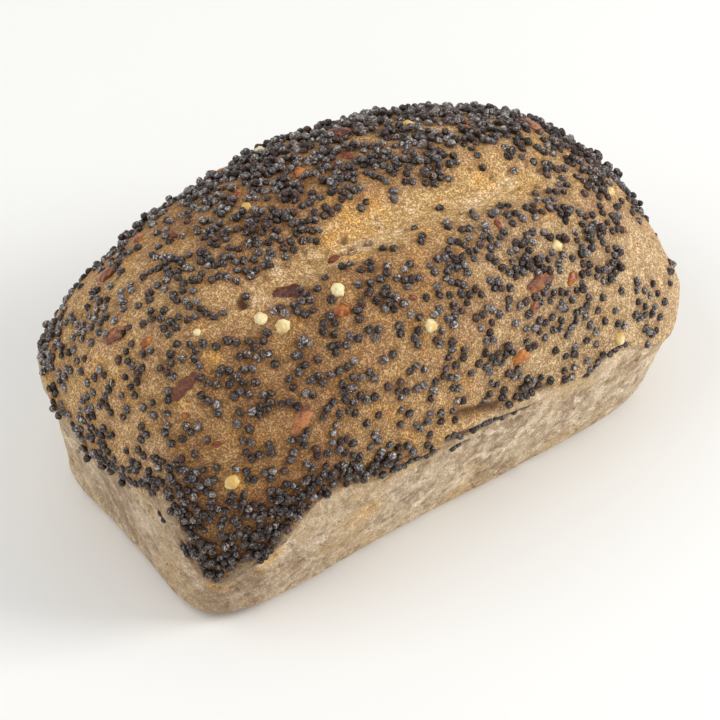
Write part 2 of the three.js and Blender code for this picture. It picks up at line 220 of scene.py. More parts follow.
# Marks along the crust's edge, from one angle to another, and how far up from the edge at both
EDGE_ROWS = [       # flattened seeds that the tin pressed in
    (-153, -151.5, 0.1, -0.1), (-145.5, -144.3, 2.0, 1.6), (-130.6, -128.4, 0.9, 1.9),
    (-107, -98, 0.35, -0.45), (-96.5, -78, 0.65, -0.45), (-94, -86.5, 0.0, -0.1),
    (-94.5, -92.5, -1.7, -1.9), (-80.5, -75.5, 2.3, 1.9), (-66, -58.5, -0.3, 0.7), (66, 75, -0.2, 0.1),
    (86, 91, 0.2, 0.3), (115, 123, 0.2, -0.4),
]
EDGE_FOLDS = [      # folds of the skin, without seeds
    (-129.6, -127.6, 2.0, 3.0), (-112, -98, 1.5, 0.9), (-74, -70.5, 0.95, 0.9), (-172, -158, -3.4, -2.0),
    (40, 60, 1.3, 1.1), (126, 140, -0.9, -0.7), (-12, 14, -0.8, -0.9),
]
EDGE_HOLLOWS = [(-93.5, -86, 3.7, 2.2), (84, 90, 2.6, 3.0)]     # pushed in under the overhanging skin and darkened there with painted shade
EDGE_GOLD = [       # golden patches of the wall
    (-138.5, -136, -3.6, -4.0), (-129.5, -128.5, -2.3, -2.1), (-113, -111, -6.0, -6.0),
    (58, 62, -3.6, -4.0),
]
MARK_HALF_WIDTHS = {"rows": 0.4, "folds": 0.3, "hollows": 0.85, "gold": 1.5}
MARK_FADE = (2.5, 0.5)      # degrees before and after a mark's end that it fades over
# Creases and hollows along the edge: how deep they are pushed in, and how much painted shade is laid in them
CREASE_DEPTH = 0.45
CREASE_SHADE = 0.9
HOLLOW_DEPTH = 0.7
HOLLOW_SHADE = 0.95
FOLD_SHARE = 0.8            # of a crease's depth
GOLD_SPOTS = [      # golden patches of the crust: place seen from above, and width
    ((16.4, -4.4), 1.6), ((2.0, -10.1), 1.4), ((-4.0, -1.6), 2.3), ((-0.3, -2.6), 1.6),
    ((-8.4, -8.7), 1.5), ((-8.6, -4.3), 1.4), ((-33.5, -19.5), 0.9), ((-31.2, -9.9), 1.2),
    ((20, -12), 1.4), ((27, 9), 1.8), ((40, -5.5), 2.6), ((36.5, 1.5), 1.5),
]
CHALK_SPOTS = [     # whitish torn skin by the slash, and flour at the left end: place and reach
    ((-17, -3.2), (0.8, 2.4)), ((-6.2, -7.0), (2.6, 1.2)), ((-22.5, -6.6), (1.2, 0.8)),
    ((14, -6.5), (2.2, 0.8)), ((-42.5, -12), (2, 5)),
]
BAKED_SPOTS = [     # browner or paler parts of the crust: place, reach and how much
    ((-15, -13), (14, 7), 0.15), ((-16, 2), (7, 5), 0.2), ((-36, 4), (10, 9), -0.4),
    ((-38, -10), (6, 6), -0.2), ((1, -13), (7, 5), 0.14), ((-8, -11), (12, 4.5), 0.25),
    ((20, -11), (14, 6), 0.26), ((-5, 5), (10, 5), 0.45), ((-6, -17), (9, 5), 0.2),
]
BAKED_CORNER = (-138, 24)   # centre and width in degrees of the crust's brownest corner
BAKED_UP_TO = (1.95, 1.1)   # levels that the corner's brown fades out and starts at
BAKED_LEFT = (28, -32)      # x
BAKED_BACK = {"y": (-4, 9), "x": (-34, -18)}
BAKED_SHARES = {"far": 0.3, "corner": 0.7, "crust_blotches": 0.8, "wall_blotches": 1.6}
FLOURY_CORNER = {"x": (-4, 14), "y": (-8, -16)}
WALL_DARKENING = [(-172, 32, 0.42), (-135, 9, 0.6), (-107, 12, 0.2), (-42, 14, 0.15)]   # humps, as above, where the wall is darker: painted shade under the near corner's overhanging crust at -135, plain darker patches at the others
# Burst bubbles in the slash: place, radius and depth
BUBBLES = [((-23.5, -6.0), 1.15, 0.9), ((-8.3, -6.9), 0.8, 0.6), ((-4.6, -7.0), 0.9, 0.7)]
PIT_SWARMS = [      # in the slash and over the crust: how many, from and to by x and y, radii, depths
    (26, (-24, 26), (SLASH_Y - 5, SLASH_Y + 3), (0.35, 0.65), (0.15, 0.4)),
    (90, (-38, 38), (-22, 22), (0.35, 0.6), (0.1, 0.25)),
]
# the wall's pits are pushed in and get painted shade over their darkened reach
WALL_PITS = {"count": 240, "radii": (0.3, 0.75), "depths": (0.1, 0.35), "darkened": 0.7, "shade": 0.6}

POPPY_KINDS = {     # share of all poppy seeds, colour of the shaded side, which is painted shade, and how dusty they are on top, the dust partly a painted highlight
    "poppy_black": (0.31, (0.115, 0.065, 0.045), 0.3),
    "poppy_slate": (0.33, (0.16, 0.10, 0.072), 0.5),
    "poppy_dusty": (0.17, (0.24, 0.17, 0.13), 0.95),
    "poppy_brown": (0.19, (0.165, 0.08, 0.05), 0.25),
}
POPPY_WIDTH = 0.93          # as a share of its length
POPPY_LIES = {"loose": (0.86, 0.44), "piled": (0.86, 0.42), "pressed": (0.62, 0.46)}    # thickness, sink
POPPY_SIZES = (0.82, 1.06)
POPPY_TILT = 0.35           # radians
POPPY_NOTCH = {"half_width": 0.4, "depths": (0.1, 0.4)}
POPPY_BEND = 0.12
POPPY_FORMS = 30            # differently shaped seeds
BEAD_SEGMENTS = 10
BEAD_RINGS = 7
SEED_CHAIN = 0.55           # chance that one more seed clings to the last
SEED_CHAIN_MOST = 6
SEED_CHAIN_STEP = 2.05      # from seed to seed, in radii
STARTS_PER_SEED = 0.7       # tries for each seed wanted, as many fall on taken places
SEAT_RADIUS = {"alone": 0.47, "crowding": 0.11, "crowded": 1.6}     # lengths, and the density of a crowd
GRAIN_CLEARANCE = {"millet": 1.0, "other": 0.8}
SEED_PILE = 0.32            # chance of a seed on top where they lie thickest
PILE_SEAT = {"up": 0.45, "aside": 0.55, "clear": 0.3, "radius": 0.42}       # in seed lengths
PRESSED_GAPS = ([0.7, 0.85, 1.8], [0.5, 0.4, 0.1])      # in seed lengths, and how often each comes
PRESSED_STEPS = 400
BLACK_SHARE = {"pile": 0.55, "left_end": 0.3}           # further seeds that are black there; in the thickest piles they partly stand in as painted shade among the seeds
PILE_DENSITY = 4
LEFT_END = -28
DUSTY_FROM = 4              # behind this y more seeds are dusty
DUSTY_SHARE = 0.4
# Darkening of the skin round the seeds: partly a real stain, partly painted shade round and between them
STAIN_AND_SHADE_REACH = 0.98
STAIN_AND_SHADE_PER_SEED = 0.43

# The camera stands where the photograph's did
PHOTO_BEARING = 37.0        # degrees from +Y towards +X that it looks along
PHOTO_ELEVATION = 42.8
PHOTO_DISTANCE = 608
PHOTO_PIVOT = (0, 0, 20)
PHOTO_AIM_RIGHT = -0.5
PHOTO_AIM_UP = -6.12
PHOTO_LENS = 231

LIGHTS = {"key": ((400, -330, 330), 260), "fill": ((-330, 120, 420), 420)}      # place and width
FLOOR_HALF = 1500
FLOOR_Z = -0.05             # just under the loaf's base


def hump(angle, centre, width):
    """A smooth hump of height 1 round a direction, its centre and width in degrees."""
    turns = (angle - math.radians(centre)) / (2 * math.pi)
    away = (turns - np.round(turns)) * 360
    return np.exp(-((away / width) ** 2))


def humps(angle, rows):
    return sum(height * hump(angle, centre, width) for centre, width, height in rows)


def outline_point(angle, half_length, half_width, power):
    """A point of a superellipse outline in the direction of an angle."""
    cosine, sine = np.cos(angle), np.sin(angle)
    reach = (np.abs(cosine) ** power + np.abs(sine) ** power) ** (-1 / power)
    return half_length * cosine * reach, half_width * sine * reach


def shoulder_height(angle):
    return SHOULDER_HEIGHT * (1 - SHOULDER_FALL * np.cos(angle) - humps(angle, SHOULDER_DIPS))


def crust_edge(angle):
    """The level, 0 at the base, 1 at the shoulder and 2 at the crown, where the seeded crust ends."""
    return CRUST_EDGE_LEVEL + humps(angle, CRUST_EDGE_WAVES)


def wall_point(angle, level):
    top = shoulder_height(angle)
    z = top * level
    rounding = np.maximum(0, 1 - z / BOTTOM_ROUNDING)
    inset = WALL_TAPER * (top - z) + BOTTOM_ROUNDING * (1 - np.sqrt(1 - rounding ** 2))
    inset = inset - (WALL_BOW - humps(angle, WALL_HOLLOWS)) * np.sin(math.pi * level)
    power = OUTLINE_POWER["base"] + (OUTLINE_POWER["shoulder"] - OUTLINE_POWER["base"]) * level
    x, y = outline_point(angle, HALF_LENGTH - inset, HALF_WIDTH - inset, power)
    return x + BASE_SHIFT * (1 - level), y, z


def arch_point(angle, level):
    """The crust arches from the shoulder to the crown."""
    climb = (level - 1) * math.pi / 2
    flat, steep = np.maximum(np.cos(climb), 0), np.sin(climb)
    power = ARCH_POWER["crosswise"]
    power = power + (ARCH_POWER["lengthwise"] - ARCH_POWER["crosswise"]) * np.cos(angle) ** 2
    power = power + ARCH_POWER["at_corners"] * np.sin(2 * angle) ** 2 * flat
    reach = (flat ** power + steep ** power) ** (-1 / power)
    squareness = OUTLINE_POWER["shoulder"]
    squareness = squareness + (OUTLINE_POWER["crown"] - OUTLINE_POWER["shoulder"]) * (1 - flat)
    outline_x, outline_y = outline_point(angle, HALF_LENGTH, HALF_WIDTH, squareness)
    x, y = flat * reach * outline_x, flat * reach * outline_y
    crown = HEIGHT * (1 - CROWN_FALL * x / HALF_LENGTH)
    foot = shoulder_height(angle)
    return x, y, foot + (crown - foot) * steep * reach


def slash_away(x, y):
    """Distance from the slash's middle line, in half-widths of the slash."""
    return (y - SLASH_Y - SLASH_BOW * (x / SLASH_HALF_LENGTH) ** 2) / SLASH_HALF_WIDTH


def slash_depth(x, y):
    """Height that the slash takes from the crust, less the torn lips that it leaves beside it."""
    away = slash_away(x, y)
    valley = SLASH_DEPTH * np.exp(-(away ** 2))
    ears = np.exp(-((away - SLASH_EAR_AWAY) ** 2)) + np.exp(-((away + SLASH_EAR_AWAY) ** 2))
    fade = np.maximum(0, 1 - (x / SLASH_HALF_LENGTH) ** 4)
    return fade * (valley - SLASH_EAR * ears)


def lump_height(x, y):
    return sum(height * np.sin(along_x * x / HALF_LENGTH + along_y * y / HALF_WIDTH + phase)
               for height, along_x, along_y, phase in CRUST_LUMPS)


def loaf_point(angle, level):
    """Points of the bare loaf in millimetres, as an array of rows of x, y and z."""
    reach = np.where(level < 1, EDGE_BEND_BELOW, EDGE_BEND_ABOVE)
    bend = np.maximum(0, 1 - np.abs(level - 1) / reach)
    bent = level + (crust_edge(angle) - 1) * bend
    wall = np.stack(wall_point(angle, np.clip(bent, 0, 1)), -1)
    arch = np.stack(arch_point(angle, np.clip(bent, 1, 2)), -1)
    points = np.where((bent < 1)[..., None], wall, arch)
    above_edge = np.maximum(level - 1, 0) * HEIGHT
    lip = np.where(level >= 1, CRUST_LIP * np.exp(-above_edge / CRUST_LIP_REACH), 0)
    x, y = points[..., 0], points[..., 1]
    spread = np.hypot(x / HALF_LENGTH, y / HALF_WIDTH) + 1e-9
    crustiness = np.clip((level - 1) / LUMPS_RISE_OVER, 0, 1)
    raised = crustiness * lump_height(x, y)
    x = x + lip * x / HALF_LENGTH / spread
    y = y + lip * y / HALF_WIDTH / spread
    z = points[..., 2] + raised - crustiness * slash_depth(x, y)
    return np.stack([x, y, z], -1)


# ---------------------------------------------------------------- noise and small helpers

NOISE_SLOPES = 512
NOISE_MIX = (73856093, 19349663, 83492791)
NOISE_HEIGHT = 1.6


def soft_noise(points, size, seed):
    """Smooth noise from about -1 to 1, its lumps about as wide as size, which may differ by axis."""
    directions = np.random.default_rng(seed).normal(size=(NOISE_SLOPES, 3))
    directions /= np.linalg.norm(directions, axis=1, keepdims=True)
    cells = np.asarray(points) / size
    corner = np.floor(cells).astype(np.int64)
    part = cells - corner
    fade = part ** 3 * (part * (part * 6 - 15) + 10)
    total = np.zeros(len(cells))
    for step in itertools.product((0, 1), repeat=3):
        mixed = np.bitwise_xor.reduce((corner + step) * NOISE_MIX, axis=1)
        slope = directions[(mixed ^ (mixed >> 9)) % NOISE_SLOPES]
        weight = np.prod(np.where(step, fade, 1 - fade), axis=1)
        total += weight * np.sum(slope * (part - step), axis=1)
    return NOISE_HEIGHT * total


def layered(points, layers):
    return sum(height * soft_noise(points, size, seed) for height, size, seed in layers)


def smooth_step(low, high, value):
    part = np.clip((value - low) / (high - low), 0, 1)
    return part * part * (3 - 2 * part)


def patch(points, place, reach):
    """How near each point lies to a place seen from above: 1 there, fading over its reach by axis."""
    away = ((points[:, 0] - place[0]) / reach[0]) ** 2 + ((points[:, 1] - place[1]) / reach[1]) ** 2
    return np.exp(-away)


def new_mesh_object(name, points, faces, smooth=True):
    """A mesh object from points in millimetres, linked to the scene."""
    mesh = bpy.data.meshes.new(name)
    mesh.from_pydata((np.asarray(points) * MM).tolist(), [], faces)
    mesh.polygons.foreach_set("use_smooth", [smooth] * len(mesh.polygons))
    mesh.update()
    made = bpy.data.objects.new(name, mesh)
    bpy.context.scene.collection.objects.link(made)
    return made


def write_attribute(mesh, name, values):
    """A number for each point of a mesh, which its material reads by name."""
    layer = mesh.attributes.get(name) or mesh.attributes.new(name, "FLOAT", "POINT")
    layer.data.foreach_set("value", np.asarray(values, dtype=np.float32))


def read_attribute(mesh, name):
    values = np.empty(len(mesh.vertices), dtype=np.float32)
    mesh.attributes[name].data.foreach_get("value", values)
    return values


def read_points(mesh, normals=False):
    source = mesh.vertex_normals if normals else mesh.vertices
    values = np.empty(len(mesh.vertices) * 3, dtype=np.float32)
    source.foreach_get("vector" if normals else "co", values)
    return values.reshape(-1, 3).astype(float) * (1 if normals else 1 / MM)


def point_tree(points):
    tree = KDTree(len(points))
    for index, point in enumerate(points):
        tree.insert(point, index)
    tree.balance()
    return tree


def box_limits():
    """The lowest and highest corners of the frame's box, in millimetres."""
    return [np.array(corner) / MM for corner in CAD_BOX]


# ---------------------------------------------------------------- the loaf's mesh

def crust_grid():
    """Angles and levels of a grid drawn over the crust. Its rim is the crust's edge."""
    across = np.linspace(-1, 1, CRUST_COLUMNS + 1)
    along = np.linspace(-1, 1, CRUST_ROWS + 1)
    u, v = np.meshgrid(across, along)
    inwards = 1 - np.maximum(np.abs(u), np.abs(v))
    return np.arctan2(v, u).ravel(), (1 + inwards ** CRUST_CROWDING).ravel()


def crust_rim():
    """The grid's outer points in order, counter-clockwise seen from above."""
    row = CRUST_COLUMNS + 1
    front = list(range(CRUST_COLUMNS))
    right = [CRUST_COLUMNS + row * step for step in range(CRUST_ROWS)]
    back = [row * CRUST_ROWS + CRUST_COLUMNS - step for step in range(CRUST_COLUMNS)]
    left = [row * (CRUST_ROWS - step) for step in range(CRUST_ROWS)]
    return front + right + back + left


def loaf_mesh():
    """Angles, levels and faces of the whole loaf: crust, wall and base. The crust's faces come first."""
    angle, level = crust_grid()
    row = CRUST_COLUMNS + 1
    faces = [(start, start + 1, start + row + 1, start + row)
             for start in (row * j + i for j in range(CRUST_ROWS) for i in range(CRUST_COLUMNS))]
    above = crust_rim()
    rim_angle = angle[above]
    downwards = np.linspace(0, 1, WALL_RINGS)[1:] ** WALL_CROWDING
    for wall_level in list(1 - (1 - BOTTOM_LEVELS[0]) * downwards) + list(BOTTOM_LEVELS[1:]):
        below = list(range(len(angle), len(angle) + len(above)))
        angle = np.append(angle, rim_angle)
        level = np.append(level, np.full(len(rim_angle), wall_level))
        for step in range(len(above)):
            beside = (step + 1) % len(above)
            faces.append((below[step], below[beside], above[beside], above[step]))
        above = below
    faces.append(tuple(reversed(above)))
    return angle, level, faces


def slash_opening(points):
    """How far the slash pulled the skin open, from 0 to 1."""
    x, y = points[:, 0], points[:, 1]
    along = np.abs(x / SLASH_HALF_LENGTH)
    from_middle = np.abs(slash_away(x, y - OPENING_SHIFT))
    inside = OPENING_REACH * (1 - along ** 3) - from_middle + layered(points, OPENING_LAYERS)
    return smooth_step(*OPENING_EDGE, inside) * (points[:, 2] > SHOULDER_HEIGHT) * (along < OPENING_END)


def crust_relief(points, opening):
    """Height of the baked skin over the bare form, in millimetres."""
    ridges = np.abs(soft_noise(points, WRINKLES["size"], WRINKLES["seed"])) * WRINKLES["narrowness"]
    wrinkles = np.maximum(WRINKLES["height"] * (1 - ridges), 0)
    return layered(points, SKIN_LAYERS) + wrinkles + opening * layered(points, TORN_LAYERS)


def wall_relief(points):
    """Height of the pale wall over its bare form, in millimetres."""
    pocks = soft_noise(points, WALL_POCKS["size"], WALL_POCKS["seed"])
    return layered(points, WALL_LAYERS) - WALL_POCKS["depth"] * smooth_step(*WALL_POCKS["range"], pocks)


def edge_gap(level):
    """Millimetres up the crust from its edge, or below nought down the wall."""
    return (level - 1) * np.where(level >= 1, HEIGHT, SHOULDER_HEIGHT)


def seeded_gap(angle, level):
    """As edge_gap, but counted from the line where the seeds start."""
    turns, rises = zip(*SEED_LINE)
    return edge_gap(level) - np.interp(np.degrees(angle), turns, rises)


def edge_marks(points, angle, level, marks, half_width):
    """Strips along the crust's edge, from 0 to 1 at their middle lines."""
    before, after = MARK_FADE
    degrees = (np.degrees(angle) + 180) % 360 - 180
    strength = np.zeros(len(points))
    wander = layered(points, MARK_LAYERS)
    for start, end, *ups in marks:
        within = smooth_step(start - before, start + after, degrees)
        within = within * smooth_step(end + before, end - after, degrees)
        away = (edge_gap(level) - np.interp(degrees, (start, end), ups) - wander) / half_width
        strength = np.maximum(strength, within * np.exp(-(away ** 2)))
    return strength


def crust_point_near(points, level, place):
    """The crust's point closest to a place given from above."""
    away = np.hypot(points[:, 0] - place[0], points[:, 1] - place[1])
    return points[np.argmin(np.where(level >= 1, away, np.inf))].copy()


def press_dent(tree, points, normals, centre, radius, depth):
    """Pushes the points near a place in, along their normals. A negative depth raises a dome."""
    for _, index, distance in tree.find_range(Vector(centre), radius):
        points[index] -= normals[index] * depth * (1 - (distance / radius) ** 2) ** 1.5


# ---------------------------------------------------------------- seeds and grains

def bead():
    """Points and faces of a unit ball in rings, for the small seeds."""
    points = [(0, 0, 1)]
    for ring in range(1, BEAD_RINGS):
        tilt = math.pi * ring / BEAD_RINGS
        for segment in range(BEAD_SEGMENTS):
            turn = 2 * math.pi * (segment + 0.5 * (ring % 2)) / BEAD_SEGMENTS
            points.append((math.sin(tilt) * math.cos(turn), math.sin(tilt) * math.sin(turn), math.cos(tilt)))
    points.append((0, 0, -1))
    faces = []
    for segment in range(BEAD_SEGMENTS):
        beside = (segment + 1) % BEAD_SEGMENTS
        faces.append((0, 1 + segment, 1 + beside))
        for ring in range(BEAD_RINGS - 2):
            upper, lower = 1 + ring * BEAD_SEGMENTS, 1 + (ring + 1) * BEAD_SEGMENTS
            faces.append((upper + segment, lower + segment, lower + beside, upper + beside))
        last = 1 + (BEAD_RINGS - 2) * BEAD_SEGMENTS
        faces.append((last + segment, len(points) - 1, last + beside))
    return np.array(points, dtype=float), faces


def round_ball(subdivisions):
    """Points and faces of a unit ball of even triangles, for the larger grains."""
    ball = bmesh.new()
    bmesh.ops.create_icosphere(ball, subdivisions=subdivisions, radius=1)
    points = np.array([vertex.co[:] for vertex in ball.verts])
    faces = [tuple(vertex.index for vertex in face.verts) for face in ball.faces]
    ball.free()
    return points, faces


def poppy_form(random):
    """One poppy seed: a plump, dented kidney with a shallow notch in its side, half a unit in radius."""
    points, _ = bead()
    notch = np.exp(-((points[:, 0] / POPPY_NOTCH["half_width"]) ** 2)) * np.clip(-points[:, 1], 0, 1) ** 2
    lumps = 1 + layered(points + random.uniform(0, 40, 3), POPPY_LAYERS)
    points = points * ((1 - random.uniform(*POPPY_NOTCH["depths"]) * notch) * lumps)[:, None]
    points[:, 1] += POPPY_BEND * points[:, 0] ** 2
    return points / 2


def seat(form, point, normal, size, turn, tilt, sink):
    """A form's points set down on the crust: scaled, turned, tilted a little and sunk in."""
    lean = Matrix.Rotation(tilt[0], 3, "X") @ Matrix.Rotation(tilt[1], 3, "Y")
    up = Vector(normal).to_track_quat("Z", "Y").to_matrix()
    spun = (form * size) @ np.array(up @ lean @ Matrix.Rotation(turn, 3, "Z")).T
    lift = size[2] * (0.5 - sink)
    return spun + np.asarray(point) + np.asarray(normal) * lift


def join_grains(name, forms, faces, tints):
    """One piece from many seeds that share a form's faces, each with a tint. None leaves the frame's box."""
    count = len(forms[0])
    all_faces = []
    for number in range(len(forms)):
        all_faces.extend(tuple(index + number * count for index in face) for face in faces)
    made = new_mesh_object(name, np.clip(np.concatenate(forms), *box_limits()), all_faces)
    write_attribute(made.data, "tint", np.repeat(tints, count))
    return made


def crust_surface():
    """The crust to set seeds on: its object, a tree to find places, its faces' middles, areas and marks."""
    crust = bpy.data.objects.get("crust")
    if crust is None:
        raise RuntimeError("Bake the loaf first: there is no crust to set seeds on")
    mesh = crust.data
    count = CRUST_COLUMNS * CRUST_ROWS + WALL_RINGS_WITH_SEEDS * len(crust_rim())
    corners = [tuple(mesh.polygons[index].vertices) for index in range(count)]
    points = read_points(mesh)
    tree = BVHTree.FromPolygons([Vector(point) for point in points], corners)
    quads = points[np.array(corners)]
    crossed = np.cross(quads[:, 2] - quads[:, 0], quads[:, 3] - quads[:, 1])
    areas = np.linalg.norm(crossed, axis=1) / 2
    marks = [read_attribute(mesh, name)[np.array(corners)].mean(axis=1) for name in ("above_edge", "pit")]
    return crust, tree, quads.mean(axis=1), areas, marks


def find_above(tree, place):
    """The crust's point and normal above a place given from above."""
    point, normal, _, _ = tree.ray_cast(Vector((place[0], place[1], 2 * HEIGHT)), Vector((0, 0, -1)))
    if point is None:
        point, normal, _, _ = tree.find_nearest(Vector((place[0], place[1], SHOULDER_HEIGHT)))
    return point, normal


def seed_density(points, gaps, pits):
    """How thickly the poppy seeds lie at each point, in seeds for each square millimetre."""
    density = np.full(len(points), SEED_DENSITY)
    for place, reach, more in SEED_PATCHES:
        density += more * patch(points, place, reach)
    clumped = np.clip(1 + layered(points, CLUMP_LAYERS), *SEED_CLUMPING)
    density = np.maximum(density, SEED_DENSITY_LEAST) * clumped
    angle = np.arctan2(points[:, 1] / HALF_WIDTH, points[:, 0] / HALF_LENGTH)
    for centre, width, reach, more in EDGE_PILES:
        density += more * np.exp(-((gaps / reach) ** 2)) * hump(angle, centre, width)
    closed = 1 - (1 - SEEDS_IN_SLASH) * slash_opening(points)
    return density * closed * (gaps > SEEDS_FROM) * (pits < BARE_PIT)


def sideways(normal, random):
    """A direction along the crust, at random."""
    return Vector(random.normal(size=3)).cross(normal).normalized()


class SeatGrid:
    """Remembers taken places, so that seeds touch but don't run into each other."""

    def __init__(self, cell):
        self.cell, self.cells = cell, {}

    def key(self, point):
        return tuple(int(math.floor(value / self.cell)) for value in point)

    def add(self, point, radius):
        self.cells.setdefault(self.key(point), []).append((point, radius))

    def is_clear(self, point, radius):
        middle = self.key(point)
        for step in itertools.product((-1, 0, 1), repeat=3):
            for other, reach in self.cells.get(tuple(m + s for m, s in zip(middle, step)), ()):
                if (point - other).length < radius + reach:
                    return False
        return True


# ---------------------------------------------------------------- settings

def length_setting(name, description, default):
    return bpy.props.FloatProperty(
        name=name, description=description, default=default, min=0.0001, max=0.02,
        precision=5, subtype="DISTANCE", unit="LENGTH")


def colour_setting(name, description, default):
    return bpy.props.FloatVectorProperty(
        name=name, description=description, default=default, min=0, max=1, size=3,
        subtype="COLOR_GAMMA")


def power_setting(name, description, default):
    return bpy.props.FloatProperty(
        name=name, description=description, default=default, min=0, max=200,
        subtype="POWER", unit="POWER")


class RollLoafSettings(bpy.types.PropertyGroup):
    """Finish of the loaf itself."""

    relief: bpy.props.FloatProperty(
        name="Relief", description="Strength of the skin's fine relief", default=1.0, min=0, max=2,
        subtype="FACTOR")
    crust_colour: colour_setting("Crust", "Baked skin between the seeds", (0.765, 0.66, 0.505))
    crust_amber: colour_setting("Crust amber", "Golden patches of the skin", (0.80, 0.65, 0.42))
    crust_cream: colour_setting("Cream", "Floury skin of the crust's front right", (0.76, 0.69, 0.58))
    crust_gold: colour_setting("Gold", "Deep golden spots of the skin and the sides", (0.85, 0.675, 0.385))
    crust_rosy: colour_setting("Crust rosy", "Pinkish patches of the skin", (0.71, 0.59, 0.48))
    crust_brown: colour_setting("Crust brown", "Well-baked parts and bran specks", (0.50, 0.325, 0.155))
    slash_colour: colour_setting("Slash", "Stretched dough in the open slash", (0.765, 0.662, 0.478))
    dark_grain: colour_setting("Dark grains", "Share of each colour left in dark grains", (0.85, 0.77, 0.67))
    wall_colour: colour_setting("Wall", "Pale sides that lay against the tin", (0.775, 0.70, 0.60))
    wall_floury: colour_setting("Wall flour", "Floury patches of the sides", (0.88, 0.805, 0.70))
    # also the colour of the darker wall patches, painted shade under the near corner
    wall_shade: colour_setting("Wall patches", "Grey-brown patches of the sides", (0.57, 0.475, 0.38))
    # painted shade in pits, creases and hollows, and the dark of pores and short cracks
    pit_shade_colour: colour_setting("Pits", "Floor of pits and short cracks", (0.36, 0.24, 0.14))
    # partly painted shade round and between the seeds
    stain_and_shade_colour: colour_setting("Stain", "Share of each colour left round seeds", (0.54, 0.41, 0.30))


class RollSeedSettings(bpy.types.PropertyGroup):
    """Sizes and colours of what is baked into the crust."""

    poppy_length: length_setting("Poppy length", "Long way across a poppy seed", 0.00122)
    millet_length: length_setting("Millet size", "Across a millet grain", 0.0021)
    linseed_length: length_setting("Linseed length", "Tip to tip of a linseed", 0.0046)
    flake_length: length_setting("Flake length", "Long way across a bran flake", 0.0052)
    kibble_length: length_setting("Kibble length", "Long way across a piece of cracked grain", 0.0026)
    black_colour: colour_setting("Black seeds", "Nearly black poppy seeds", (0.37, 0.29, 0.25))
    slate_colour: colour_setting("Slate seeds", "Blue-grey poppy seeds", (0.505, 0.465, 0.46))
    dusty_colour: colour_setting("Dusty seeds", "Paler poppy seeds with a dusty skin", (0.635, 0.60, 0.58))
    brown_colour: colour_setting("Brown seeds", "Brown poppy seeds", (0.46, 0.31, 0.23))
    # pale specks on the seeds, laid mostly on their tops: real dust and partly a painted highlight
    dust_and_sheen_colour: colour_setting("Seed dust", "Pale specks on the poppy seeds", (0.84, 0.815, 0.80))
    millet_colour: colour_setting("Millet", "Shelled millet", (0.96, 0.91, 0.72))
    linseed_colour: colour_setting("Linseed", "Skin of a linseed", (0.66, 0.41, 0.25))
    flake_colour: colour_setting("Bran flake", "Bran under the skin", (0.74, 0.48, 0.27))
    kibble_colour: colour_setting("Cracked grain", "Amber pieces of grain", (0.81, 0.51, 0.21))


class RollStageSettings(bpy.types.PropertyGroup):
    """Floor and lights."""

    floor_colour: colour_setting("Floor", "Plain pale floor", (0.96, 0.96, 0.95))
    key_power: power_setting("Key light", "Power of the large soft light at the right", 2.2)
    fill_power: power_setting("Fill light", "Power of the soft light over the far end", 0.9)
    sky_strength: bpy.props.FloatProperty(
        name="Room light", description="Strength of the even light all round", default=0.62, min=0, max=5)


# ---------------------------------------------------------------- materials

def paint(colour):
    """A screen colour, which has three parts, as linear RGBA. A socket or linear colour stays as it is."""
    if isinstance(colour, bpy.types.NodeSocket) or len(colour) == 4:
        return colour
    return [c / 12.92 if c <= 0.04045 else ((c + 0.055) / 1.055) ** 2.4 for c in colour] + [1.0]


